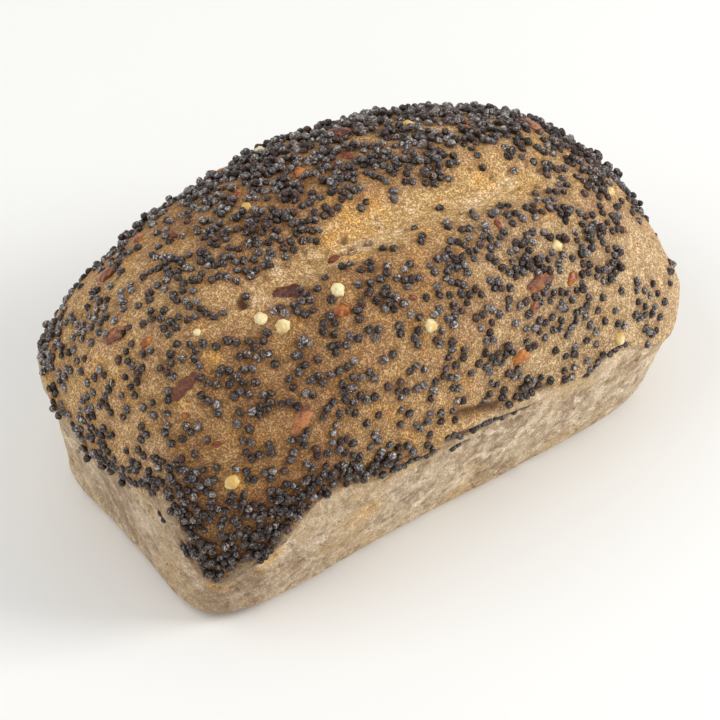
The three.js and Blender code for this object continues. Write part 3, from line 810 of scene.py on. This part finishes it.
class Bench:
    """Adds nodes to one tree, so that a material reads as a list of steps."""

    def __init__(self, tree):
        self.tree = tree
        self.tree.nodes.clear()

    def node(self, kind, sockets=None, **settings):
        made = self.tree.nodes.new(kind)
        for name, value in settings.items():
            setattr(made, name, value)
        for name, value in (sockets or {}).items():
            self.feed(made.inputs[name], value)
        return made

    def feed(self, socket, value):
        if isinstance(value, bpy.types.NodeSocket):
            self.tree.links.new(value, socket)
        else:
            socket.default_value = value

    def vector(self, operation, first, second):
        return self.node("ShaderNodeVectorMath", {0: first, 1: second}, operation=operation).outputs[0]

    def coordinates(self, stretch=(1, 1, 1)):
        """Places on the piece in metres, squeezed by axis so that a pattern runs longer there."""
        return self.vector("MULTIPLY", self.node("ShaderNodeTexCoord").outputs["Object"], stretch)

    def noise(self, size, places, detail=3.0, roughness=0.6, output="Fac"):
        """Smooth noise from 0 to 1 with lumps about as wide as size, in metres."""
        sockets = {"Vector": places, "Scale": 1 / size, "Detail": detail, "Roughness": roughness}
        return self.node("ShaderNodeTexNoise", sockets).outputs[output]

    def cells(self, size, places, feature="F1"):
        """Distance within a scatter of cells about as wide as size."""
        sockets = {"Vector": places, "Scale": 1 / size}
        return self.node("ShaderNodeTexVoronoi", sockets, feature=feature).outputs["Distance"]

    def warped(self, places, size, amount):
        """Places pushed about by noise of that size, by up to about the amount, both in metres."""
        pushed = self.vector("MULTIPLY", self.noise(size, places, 2.0, 0.5, "Color"), (amount,) * 3)
        return self.vector("ADD", places, pushed)

    def span(self, value, low, high, to_low=0.0, to_high=1.0):
        """A value's range from low to high, eased, as to_low to to_high."""
        sockets = {"Value": value, "From Min": low, "From Max": high, "To Min": to_low, "To Max": to_high}
        return self.node("ShaderNodeMapRange", sockets, interpolation_type="SMOOTHSTEP").outputs["Result"]

    def patches(self, share, low, high, size, places, detail=3.0, roughness=0.6):
        """A mask of patches, up to a share, where noise runs from low to high."""
        return self.span(self.noise(size, places, detail, roughness), low, high, 0.0, share)

    def sum(self, first, *others):
        for other in others:
            first = self.node("ShaderNodeMath", {0: first, 1: other}, operation="ADD").outputs[0]
        return first

    def times(self, first, second):
        return self.node("ShaderNodeMath", {0: first, 1: second}, operation="MULTIPLY").outputs[0]

    def mark(self, name, share=1.0):
        """A mesh attribute, scaled."""
        value = self.node("ShaderNodeAttribute", attribute_name=name).outputs["Fac"]
        return value if share == 1.0 else self.times(value, share)

    def blend(self, factor, first, second, kind="MIX"):
        """Two colours mixed by a factor."""
        made = self.node("ShaderNodeMix", data_type="RGBA", blend_type=kind)
        for socket, value in ((0, factor), (6, paint(first)), (7, paint(second))):
            self.feed(made.inputs[socket], value)
        return made.outputs[2]

    def coated(self, colour, *coats):
        """A colour with others laid over it in turn, each by its mask."""
        for mask, coat in coats:
            colour = self.blend(mask, colour, coat)
        return colour

    def finish(self, colour, roughness, height, depth, **shader):
        """The shader itself, with a bump of that depth in metres. Further sockets are plain values."""
        bump = self.node("ShaderNodeBump", {"Height": height, "Distance": depth, "Strength": 1.0})
        surface = self.node("ShaderNodeBsdfPrincipled", {
            "Base Color": colour, "Roughness": roughness, "Normal": bump.outputs["Normal"]})
        for name, value in shader.items():
            surface.inputs[name.replace("_", " ")].default_value = value
        output = self.node("ShaderNodeOutputMaterial")
        self.tree.links.new(surface.outputs["BSDF"], output.inputs["Surface"])


def new_material(name):
    material = bpy.data.materials.new(name)
    material.use_nodes = True
    return material, Bench(material.node_tree)


def effect_group(name, fill):
    """A shader node group built once. It takes places and a size in metres, and gives what fill returns."""
    group = bpy.data.node_groups.get(name)
    if group:
        return group
    group = bpy.data.node_groups.new(name, "ShaderNodeTree")
    bench = Bench(group)
    group.interface.new_socket("Places", in_out="INPUT", socket_type="NodeSocketVector")
    size_socket = group.interface.new_socket("Size", in_out="INPUT", socket_type="NodeSocketFloat")
    size_socket.default_value = 0.0005
    entry = bench.node("NodeGroupInput").outputs
    size = bench.node("ShaderNodeCombineXYZ", {axis: entry["Size"] for axis in "XYZ"}).outputs[0]
    effects = fill(bench, bench.vector("DIVIDE", entry["Places"], size))
    for label in effects:
        group.interface.new_socket(label, in_out="OUTPUT", socket_type="NodeSocketFloat")
    exits = bench.node("NodeGroupOutput").inputs
    for label, value in effects.items():
        bench.feed(exits[label], value)
    return group


def crumb_fleck_group():
    """Fine grains of dough: dark and pale masks, a shade and a height."""
    def fill(bench, places):
        coarse = bench.times(bench.noise(1.7, places, 2.0, 0.6), 0.22)
        middling = bench.times(bench.noise(0.8, places, 2.0, 0.6), 0.32)
        fine = bench.times(bench.noise(0.45, places, 1.0, 0.5), 0.46)
        height = bench.sum(coarse, middling, fine)
        return {
            "Dark": bench.span(height, 0.5, 0.38),
            "Pale": bench.span(height, 0.5, 0.62),
            "Shade": bench.span(height, 0.43, 0.67),
            "Height": height,
        }
    return effect_group("Dough grains", fill)


def seed_skin_group():
    """A seed's netted skin: the cells' own shades, fine patches of dust and a height."""
    def fill(bench, places):
        net = bench.node("ShaderNodeTexVoronoi", {"Vector": places, "Scale": 1.0})
        return {
            "Cell": bench.node("ShaderNodeSeparateColor", {"Color": net.outputs["Color"]}).outputs["Red"],
            "Dust": bench.patches(1.0, 0.47, 0.65, 1.15, places, 2.0),
            "Height": bench.span(net.outputs["Distance"], 0.2, 0.7),
        }
    return effect_group("Seed skin", fill)


def bread_material(loaf):
    """Baked skin over the crust, stretched dough in the slash and pale tin-baked sides."""
    material, bench = new_material("baked_dough")
    places = bench.coordinates()
    grains = bench.node("ShaderNodeGroup", node_tree=crumb_fleck_group())
    bench.feed(grains.inputs["Places"], places)
    grains.inputs["Size"].default_value = 0.00049
    skin = crust_skin(bench, loaf, places, grains)
    side = wall_skin(bench, loaf, places, grains)
    ragged = bench.times(bench.sum(bench.noise(0.0016, places, 3.0, 0.5), -0.5), 2.4)
    crusted = bench.span(bench.sum(bench.mark("above_edge"), ragged), -0.6, 0.4)
    # painted shade in pits, creases and hollows
    colour = bench.coated(side, (crusted, skin), (bench.mark("pit"), loaf.pit_shade_colour))
    # painted shade and stain round the seeds, multiplied into the skin
    shaded = bench.blend(1.0, colour, loaf.stain_and_shade_colour, kind="MULTIPLY")
    colour = bench.blend(bench.mark("stain"), colour, shaded)
    height = bench.times(grains.outputs["Height"], bench.span(crusted, 0.0, 1.0, 0.4, 1.0))
    bench.finish(colour, 0.8, height, 0.0005 * loaf.relief, Specular_IOR_Level=0.25)
    return material


def grained(bench, colour, grains, dark, light):
    """A colour with the dough's fine grains in it, from dark to light as shares of the colour."""
    shares = bench.blend(grains.outputs["Shade"], dark, light)
    return bench.blend(1.0, colour, shares, kind="MULTIPLY")


def crust_skin(bench, loaf, places, grains):
    """Colour of the seeded crust and of the open slash."""
    streaks = bench.patches(0.8, 0.45, 0.62, 0.0030, bench.coordinates((0.35, 1.6, 1.0)))
    stretched = bench.coated(
        loaf.slash_colour,
        (streaks, loaf.crust_colour),
        (bench.patches(0.6, 0.53, 0.62, 0.0042, places), loaf.crust_amber),
        (bench.patches(0.6, 0.52, 0.60, 0.0022, places, 4.0, 0.7), loaf.wall_floury))
    skin = loaf.crust_colour
    for colour, share, low, high, size in (
            (loaf.crust_rosy, 0.8, 0.46, 0.62, 0.0050), (loaf.crust_amber, 0.7, 0.50, 0.64, 0.0034),
            (loaf.slash_colour, 0.55, 0.52, 0.66, 0.0026)):
        patches = bench.patches(share, low, high, size, bench.warped(places, size, size / 2))
        skin = bench.blend(patches, skin, colour)
    skin = bench.coated(
        skin,
        (bench.mark("flour", 0.65), loaf.crust_cream),
        (bench.mark("bake", 0.7), loaf.crust_brown),
        (bench.mark("slash"), stretched),
        (bench.span(bench.cells(0.0024, places), 0.12, 0.07, 0.0, 0.6), loaf.crust_brown),
        (bench.mark("gilt", 0.7), loaf.crust_gold),
        (bench.mark("chalk", 0.75), loaf.wall_floury))
    return grained(bench, skin, grains, loaf.dark_grain, (1.95, 1.88, 1.74, 1))


def wall_skin(bench, loaf, places, grains):
    """Colour of the sides: floury and grey-brown patches, tan by the crust, pores and short cracks."""
    clouds = bench.noise(0.0060, bench.coordinates((0.8, 0.8, 1.1)), 4.0, 0.65)
    mottles = bench.noise(0.0018, places)
    warmth = bench.patches(0.7, 0.50, 0.66, 0.0062, bench.warped(places, 0.003, 0.002))
    near_edge = bench.span(bench.mark("above_edge"), -4.0, -0.3, 0.0, 0.45)
    near_base = bench.span(bench.mark("above_edge"), -11.0, -16.5, 0.0, 0.3)
    seams = bench.cells(0.0070, bench.warped(places, 0.004, 0.004), feature="DISTANCE_TO_EDGE")
    cracked = bench.times(bench.span(seams, 0.03, 0.010, 0.0, 0.5), bench.span(clouds, 0.58, 0.64))
    side = bench.coated(
        loaf.wall_colour,
        (bench.span(clouds, 0.45, 0.66, 0.0, 0.85), loaf.wall_shade),
        (bench.patches(0.95, 0.5, 0.62, 0.0034, places, 4.0, 0.7), loaf.wall_floury),
        (bench.span(mottles, 0.5, 0.36, 0.0, 0.65), loaf.wall_shade),
        (bench.span(mottles, 0.52, 0.64, 0.0, 0.65), loaf.wall_floury),
        (bench.sum(warmth, near_edge, near_base), loaf.crust_colour),
        # darker patches of the wall: painted shade under the near corner's overhanging crust
        (bench.mark("bake", 0.7), loaf.wall_shade),
        (bench.mark("gilt", 0.8), loaf.crust_gold),
        # pores and short cracks, dark in the pits' shade colour
        (bench.span(bench.cells(0.0019, places), 0.15, 0.08, 0.0, 0.6), loaf.pit_shade_colour),
        (cracked, loaf.pit_shade_colour))
    return grained(bench, side, grains, (0.84, 0.81, 0.77, 1), (1.42, 1.42, 1.42, 1))


def poppy_material(name, dust_and_sheen_colour, colour, shade, dust_and_sheen):
    """Netted poppy seed skin, darker below as painted shade and dusted above as partly a painted highlight,
    each seed and each cell a little different.
    """
    material, bench = new_material(name)
    skin = bench.node("ShaderNodeGroup", node_tree=seed_skin_group())
    bench.feed(skin.inputs["Places"], bench.coordinates())
    skin.inputs["Size"].default_value = 0.00027
    top = bench.mark("top")
    colour = bench.coated(
        shade,
        # painted shade: each seed's colour fades to its shade colour towards its underside
        (bench.span(top, 0.15, 0.75), bench.blend(bench.mark("tint"), shade, colour)),
        (bench.times(skin.outputs["Cell"], 0.75), shade),
        # pale dust, laid most thickly on the top of each seed: partly a painted highlight
        (bench.times(skin.outputs["Dust"], bench.span(top, 0.35, 0.85, 0.1 * dust_and_sheen, dust_and_sheen)), dust_and_sheen_colour))
    bench.finish(colour, 0.5, skin.outputs["Height"], 0.00014, Specular_IOR_Level=0.45)
    return material


def grain_material(name, colour, dark, fleck_size, roughness, shader):
    """Skin of a larger grain: its colour, darker flecks, and a fine uneven surface."""
    material, bench = new_material(name)
    flecks = bench.node("ShaderNodeGroup", node_tree=crumb_fleck_group())
    bench.feed(flecks.inputs["Places"], bench.coordinates())
    flecks.inputs["Size"].default_value = fleck_size
    patches = bench.span(bench.noise(0.0016, bench.coordinates(), 3.0, 0.65), 0.36, 0.64, -0.4, 0.4)
    lit = bench.coated(
        colour,
        (bench.span(bench.sum(bench.mark("tint"), patches), 0.0, 1.0), dark),
        (bench.times(flecks.outputs["Dark"], 0.5), dark),
        (bench.times(flecks.outputs["Pale"], 0.25), colour))
    bench.finish(lit, roughness, flecks.outputs["Height"], 0.00006, **shader)
    return material


# ---------------------------------------------------------------- operators

def add_piece(piece, material):
    piece.data.materials.append(material)
    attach(piece, BODY)


class ROLL_OT_bake_loaf(bpy.types.Operator):
    """Makes the loaf with its baked skin, open slash and pale sides, in place of the plain solid"""

    bl_idname = "roll.bake_loaf"
    bl_label = "Bake Loaf"

    def execute(self, context):
        loaf = context.scene.roll_loaf
        angle, level, faces = loaf_mesh()
        bare = loaf_point(angle, level)
        crust = new_mesh_object("crust", bare, faces)
        mesh = crust.data
        normals = read_points(mesh, normals=True)
        on_crust = smooth_step(*WALL_TO_CRUST, level)
        opening = slash_opening(bare) * on_crust
        creases, hollows = self.edge_relief(bare, angle, level)
        relief = on_crust * crust_relief(bare, opening) + (1 - on_crust) * wall_relief(bare)
        relief -= CREASE_DEPTH * creases + HOLLOW_DEPTH * hollows + self.inset(bare, level)
        points = bare + normals * (loaf.relief * relief * smooth_step(*RELIEF_STARTS, level))[:, None]
        pits = self.add_pits(points, normals, level)
        mesh.vertices.foreach_set("co", (points * MM).ravel())
        mesh.update()
        healed = OPENING_CLOSES["share"] * smooth_step(*OPENING_CLOSES["x"], bare[:, 0])
        floury = smooth_step(*FLOURY_CORNER["x"], bare[:, 0]) * smooth_step(*FLOURY_CORNER["y"], bare[:, 1])
        marks = {
            "above_edge": seeded_gap(angle, level),
            "slash": opening * (1 - healed),
            "flour": floury * on_crust,
            # browning of the crust; on the wall darker patches, painted shade under the near corner
            "bake": self.baked(points, angle, level),
            # painted shade of the pits, creases and hollows; it also keeps seeds out of pits
            "pit": np.maximum.reduce([pits, CREASE_SHADE * creases, HOLLOW_SHADE * hollows]),
            "gilt": self.gilded(bare, angle, level),
            "chalk": self.chalked(bare, level),
        }
        for name, values in marks.items():
            write_attribute(mesh, name, values)
        add_piece(crust, bread_material(loaf))
        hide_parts(LOAF_NODE)
        return {"FINISHED"}

    def edge_relief(self, points, angle, level):
        """How deep each point lies in a crease or in a hollow along the crust's edge, from 0 to 1."""
        rows, folds, hollows = (
            edge_marks(points, angle, level, marks, MARK_HALF_WIDTHS[kind])
            for marks, kind in ((EDGE_ROWS, "rows"), (EDGE_FOLDS, "folds"), (EDGE_HOLLOWS, "hollows")))
        broken = smooth_step(-0.1, 0.2, soft_noise(points, 2.2, 26))
        return np.maximum(rows, FOLD_SHARE * (folds * broken)), hollows

    def inset(self, points, level):
        """How far the skin lies inside the seeded form, so that its seeds end where the form does."""
        more = SKIN_INSET["middle"] - SKIN_INSET["ends"]
        inset = SKIN_INSET["ends"] + more * np.exp(-((points[:, 0] / SKIN_INSET_REACH) ** 2))
        return inset * smooth_step(*INSET_STARTS, level)

    def gilded(self, points, angle, level):
        """How golden each point is, from 0 to 1."""
        gold = 0.7 * edge_marks(points, angle, level, EDGE_GOLD, MARK_HALF_WIDTHS["gold"])
        for place, width in GOLD_SPOTS:
            gold = np.maximum(gold, patch(points, place, (width, width)) * (level > 1))
        return np.clip(gold * (1 + 1.2 * soft_noise(points, 1.3, 28)), 0, 1)

    def chalked(self, points, level):
        """How whitish each point is, from 0 to 1."""
        chalk = np.zeros(len(points))
        for place, reach in CHALK_SPOTS:
            chalk = np.maximum(chalk, patch(points, place, reach) * (level > 1))
        return np.clip(chalk * (1.2 + 1.5 * soft_noise(points, 0.9, 29)), 0, 1)

    def baked(self, points, angle, level):
        """How brown each crust point is, from 0 to 1: most at the near corner, least towards the +X end. On
        the wall, how much darker each point is: painted shade under the near corner, plain darker patches
        elsewhere.
        """
        x, y = points[:, 0], points[:, 1]
        shares = BAKED_SHARES
        corner = hump(angle, *BAKED_CORNER) * smooth_step(*BAKED_UP_TO, level)
        back = shares["far"] * smooth_step(*BAKED_BACK["y"], y) * smooth_step(*BAKED_BACK["x"], x)
        far = shares["far"] * smooth_step(*BAKED_LEFT, x) + back
        blotches = layered(points, BAKE_LAYERS)
        crust_bake = far + shares["corner"] * corner + shares["crust_blotches"] * blotches
        for place, reach, more in BAKED_SPOTS:
            crust_bake += more * patch(points, place, reach)
        wall_darkening = humps(angle, WALL_DARKENING) + shares["wall_blotches"] * blotches
        return np.clip(np.where(level >= 1, crust_bake, wall_darkening), 0, 1)

    def add_pits(self, points, normals, level):
        """Swells round the grains, burst bubbles and pits. Returns how deep each point lies in a pit, which
        sets the painted shade laid there.
        """
        random = np.random.default_rng(41)
        tree = point_tree(points)
        for place, _, _, size in ALL_GRAINS:
            near = crust_point_near(points, level, place)
            press_dent(tree, points, normals, near, GRAIN_DOME["radius"] * size, -GRAIN_DOME["height"] * size)
        spots = list(BUBBLES)
        for count, *ranges in PIT_SWARMS:
            for _ in range(count):
                x, y, radius, depth = (random.uniform(*limits) for limits in ranges)
                spots.append(((x, y), radius, depth))
        mask = np.zeros(len(points))
        for place, radius, depth in spots:
            near = crust_point_near(points, level, place)
            press_dent(tree, points, normals, near, radius, depth)
            for _, index, distance in tree.find_range(Vector(near), radius):
                mask[index] = max(mask[index], min(1, 2.4 * depth) * (1 - (distance / radius) ** 4))
        wall_spots = np.flatnonzero((level < 0.97) & (level > 0.1))
        for index in random.choice(wall_spots, WALL_PITS["count"], replace=False):
            radius = random.uniform(*WALL_PITS["radii"])
            depth = random.uniform(*WALL_PITS["depths"])
            press_dent(tree, points, normals, points[index].copy(), radius, depth)
            for _, other, distance in tree.find_range(Vector(points[index]), radius * WALL_PITS["darkened"]):
                mask[other] = max(mask[other], WALL_PITS["shade"] * (1 - distance / radius))
        return mask


class ROLL_OT_press_grains(bpy.types.Operator):
    """Presses the millet, linseeds, bran flakes and cracked grain into the crust"""

    bl_idname = "roll.press_grains"
    bl_label = "Press Grains"

    def execute(self, context):
        seeds = context.scene.roll_seeds
        _, tree, _, _, _ = crust_surface()
        for name, kind in GRAIN_KINDS.items():
            length = getattr(seeds, kind["setting"] + "_length") / MM
            colour = getattr(seeds, kind["setting"] + "_colour")
            skin = grain_material(
                kind["skin"], colour, kind["dark"], kind["fleck"], kind["roughness"], kind["shader"])
            add_piece(self.press(tree, name, kind, length), skin)
        return {"FINISHED"}

    def press(self, tree, name, kind, length):
        ball, faces = round_ball(kind["fineness"])
        forms = []
        for number, (place, turn, _, size) in enumerate(kind["grains"]):
            lumps = sum(height * soft_noise(ball * 3 + number * step, width, seed)
                        for height, width, seed, step in GRAIN_RELIEF)
            form = ball * (1 + kind["roughen"] * lumps)[:, None] / 2
            sizes = np.array(kind["shares"]) * length * size
            forms.append(
                seat(form, *find_above(tree, place), sizes, math.radians(turn), GRAIN_TILT, kind["sink"]))
        return join_grains(name, forms, faces, [tone for _, _, tone, _ in kind["grains"]])


class ROLL_OT_strew_poppy(bpy.types.Operator):
    """Strews the poppy seeds, touching in clumps, thick at the back and thin by the slash"""

    bl_idname = "roll.strew_poppy"
    bl_label = "Strew Poppy Seeds"

    def execute(self, context):
        seeds = context.scene.roll_seeds
        crust, tree, middles, areas, (gaps, pits) = crust_surface()
        random = np.random.default_rng(71)
        length = seeds.poppy_length / MM
        density = seed_density(middles, gaps, pits)
        grid = SeatGrid(2.5)
        pressed = self.pressed_seats(tree, grid, random, length)
        loose = self.loose_seats(tree, grid, middles, areas * density, density, gaps, random, length)
        piled = self.piled_seats(grid, loose, random, length)
        forms = [poppy_form(random) for _ in range(POPPY_FORMS)]
        _, faces = bead()
        shares = [share for share, _, _ in POPPY_KINDS.values()]
        kinds = {name: ([], [], []) for name in POPPY_KINDS}
        for lie, seats in (("loose", loose), ("piled", piled), ("pressed", pressed)):
            thickness, sink = POPPY_LIES[lie]
            for point, normal, thick in seats:
                size = length * np.array([1, POPPY_WIDTH, thickness]) * random.uniform(*POPPY_SIZES)
                turn, tint = random.uniform(0, 2 * math.pi), random.beta(1.6, 2.6)
                form = forms[random.integers(POPPY_FORMS)]
                kind = random.choice(list(POPPY_KINDS), p=shares)
                black = BLACK_SHARE["left_end"] * (point[0] < LEFT_END)
                if thick > PILE_DENSITY:
                    black = BLACK_SHARE["pile"]
                if lie == "pressed" or (point[1] < 0 and random.uniform() < black):
                    kind = "poppy_black"
                elif point[1] > DUSTY_FROM and random.uniform() < DUSTY_SHARE:
                    kind = "poppy_dusty"
                tilt = random.normal(0, POPPY_TILT, 2) * (lie != "pressed")
                shapes, tints, tops = kinds[kind]
                shapes.append(seat(form, point, normal, size, turn, tilt, sink))
                tints.append(tint)
                # height within each seed, for its painted shade below and its painted highlight of dust above
                tops.append(form[:, 2] + 0.5)
        for name, (shapes, tints, tops) in kinds.items():
            piece = join_grains(name, shapes, faces, tints)
            write_attribute(piece.data, "top", np.concatenate(tops))
            colour = getattr(seeds, name.removeprefix("poppy_") + "_colour")
            _, shade, dust_and_sheen = POPPY_KINDS[name]
            add_piece(piece, poppy_material(name + "_skin", seeds.dust_and_sheen_colour, colour, shade, dust_and_sheen))
        self.stain_and_shade_crust(crust, [point for point, _, _ in loose])
        return {"FINISHED"}

    def loose_seats(self, tree, grid, middles, expected, density, gaps, random, length):
        """Seats by the seeds expected at each face, then some that cling to the last one."""
        for grain in ALL_GRAINS:
            point, _ = find_above(tree, grain[0])
            grid.add(point, GRAIN_CLEARANCE["millet" if grain in MILLETS else "other"] * grain[3])
        start_count = int(expected.sum() * STARTS_PER_SEED)
        seats = []
        for start in random.choice(len(middles), start_count, p=expected / expected.sum()):
            crowd = min(1, density[start] / SEAT_RADIUS["crowded"])
            radius = length * (SEAT_RADIUS["alone"] - SEAT_RADIUS["crowding"] * crowd)
            wanted = Vector(middles[start] + random.uniform(-0.15, 0.15, 3))
            for _ in range(SEED_CHAIN_MOST):
                point, normal, face, _ = tree.find_nearest(wanted)
                if gaps[face] <= SEEDS_FROM or not grid.is_clear(point, radius):
                    break
                grid.add(point, radius)
                seats.append((point, normal, density[start]))
                if random.uniform() > SEED_CHAIN:
                    break
                wanted = point + sideways(normal, random) * SEED_CHAIN_STEP * radius
        return seats

    def piled_seats(self, grid, seats, random, length):
        """Seeds that lie on others where they are thickest, clear of the frame's box."""
        low, high = box_limits()
        upper = []
        for point, normal, thick in seats:
            if random.uniform() > SEED_PILE * thick:
                continue
            aside = sideways(normal, random) * length * PILE_SEAT["aside"]
            raised = point + normal * length * PILE_SEAT["up"] + aside
            reach = np.array(raised)
            inside = np.all(reach > low + length / 2) and np.all(reach < high - length / 2)
            if inside and grid.is_clear(raised, PILE_SEAT["clear"] * length):
                grid.add(raised, PILE_SEAT["radius"] * length)
                upper.append((raised, normal, thick))
        return upper

    def pressed_seats(self, tree, grid, random, length):
        """Rows of seeds that the tin pressed into the crust's edge, with gaps here and there."""
        gaps, chances = PRESSED_GAPS
        seats = []
        for start, end, *ups in EDGE_ROWS:
            angle = np.radians(np.linspace(start, end, PRESSED_STEPS))
            up = np.linspace(*ups, PRESSED_STEPS) + 0.12 * np.sin(angle * 40)
            level = 1 + up / np.where(up >= 0, HEIGHT, SHOULDER_HEIGHT)
            last = None
            gap = 0
            for place in loaf_point(angle, level):
                point, normal, _, _ = tree.find_nearest(Vector(place))
                if last is not None and (point - last).length < gap:
                    continue
                last = point
                gap = length * random.choice(gaps, p=chances)
                grid.add(point, 0.4 * length)
                seats.append((point, normal, 0))
        return seats

    def stain_and_shade_crust(self, crust, places):
        """Darkens the skin round the seeds, most within a clump: partly a real stain, partly painted shade
        round and between them.
        """
        near = point_tree(places)
        away = np.array([[found[2] for found in near.find_n(point, 4)] for point in read_points(crust.data)])
        clear = np.prod(1 - STAIN_AND_SHADE_PER_SEED * np.exp(-((away / STAIN_AND_SHADE_REACH) ** 2)), axis=1)
        write_attribute(crust.data, "stain", 1 - clear)


class ROLL_OT_set_stage(bpy.types.Operator):
    """Lays a plain pale floor, hangs the soft lights and puts the camera where the photograph's was"""

    bl_idname = "roll.set_stage"
    bl_label = "Set Stage"

    def execute(self, context):
        stage = context.scene.roll_stage
        self.lay_floor(stage)
        self.light_room(stage.sky_strength)
        for name, (place, width) in LIGHTS.items():
            self.add_light(name, place, width, getattr(stage, name + "_power"))
        self.place_camera()
        return {"FINISHED"}

    def lay_floor(self, stage):
        corners = [(x * FLOOR_HALF, y * FLOOR_HALF, FLOOR_Z) for x, y in ((-1, -1), (1, -1), (1, 1), (-1, 1))]
        floor = new_mesh_object("floor", corners, [(0, 1, 2, 3)], smooth=False)
        material, bench = new_material("pale_floor")
        grain = bench.noise(0.02, bench.coordinates(), 3.0, 0.5)
        colour = bench.blend(bench.times(grain, 0.04), stage.floor_colour, (0.8, 0.8, 0.8, 1))
        bench.finish(colour, 0.9, grain, 0.00002)
        floor.data.materials.append(material)

    def light_room(self, strength):
        world = bpy.data.worlds.new("studio")
        world.use_nodes = True
        sockets = world.node_tree.nodes["Background"].inputs
        sockets["Color"].default_value = (1, 1, 1, 1)
        sockets["Strength"].default_value = strength
        bpy.context.scene.world = world

    def add_light(self, name, place, width, power):
        light = bpy.data.lights.new(name, "AREA")
        light.size = width * MM
        light.energy = power
        lamp = bpy.data.objects.new(name, light)
        lamp.location = Vector(place) * MM
        lamp.rotation_euler = (-Vector(place)).to_track_quat("-Z", "Y").to_euler()
        bpy.context.scene.collection.objects.link(lamp)

    def place_camera(self):
        bearing, elevation = math.radians(PHOTO_BEARING), math.radians(PHOTO_ELEVATION)
        right = Vector((math.cos(bearing), -math.sin(bearing), 0))
        level = Vector((math.sin(bearing), math.cos(bearing), 0))
        forward = level * math.cos(elevation) - Vector((0, 0, 1)) * math.sin(elevation)
        pivot = Vector(PHOTO_PIVOT)
        aim = pivot + right * PHOTO_AIM_RIGHT + right.cross(forward) * PHOTO_AIM_UP
        camera = bpy.data.objects.new("photo_camera", bpy.data.cameras.new("photo_camera"))
        camera.location = (pivot - forward * PHOTO_DISTANCE) * MM
        camera.rotation_euler = (aim * MM - camera.location).to_track_quat("-Z", "Y").to_euler()
        camera.data.lens = PHOTO_LENS
        camera.data.clip_start = 0.01
        bpy.context.scene.collection.objects.link(camera)
        bpy.context.scene.camera = camera
        bpy.context.scene.view_settings.view_transform = "Standard"


class ROLL_PT_sidebar(bpy.types.Panel):
    """The roll's settings and steps"""

    bl_idname = "ROLL_PT_sidebar"
    bl_label = "Multigrain Roll"
    bl_space_type = "VIEW_3D"
    bl_region_type = "UI"
    bl_category = "Multigrain Roll"

    def draw(self, context):
        for setting, group in SETTINGS.items():
            box = self.layout.box()
            for name in group.__annotations__:
                box.prop(getattr(context.scene, setting), name)
        for step in STEPS:
            self.layout.operator(step.bl_idname)


STEPS = (ROLL_OT_bake_loaf, ROLL_OT_press_grains, ROLL_OT_strew_poppy, ROLL_OT_set_stage)
SETTINGS = {"roll_loaf": RollLoafSettings, "roll_seeds": RollSeedSettings, "roll_stage": RollStageSettings}


def register():
    for name, group in SETTINGS.items():
        bpy.utils.register_class(group)
        setattr(bpy.types.Scene, name, bpy.props.PointerProperty(type=group))
    for step in (*STEPS, ROLL_PT_sidebar):
        bpy.utils.register_class(step)


def unregister():
    for step in (ROLL_PT_sidebar, *reversed(STEPS)):
        bpy.utils.unregister_class(step)
    for name, group in SETTINGS.items():
        delattr(bpy.types.Scene, name)
        bpy.utils.unregister_class(group)


def main():
    register()
    bpy.ops.roll.bake_loaf()
    bpy.ops.roll.press_grains()
    bpy.ops.roll.strew_poppy()
    bpy.ops.roll.set_stage()


if __name__ == "__main__":
    main()
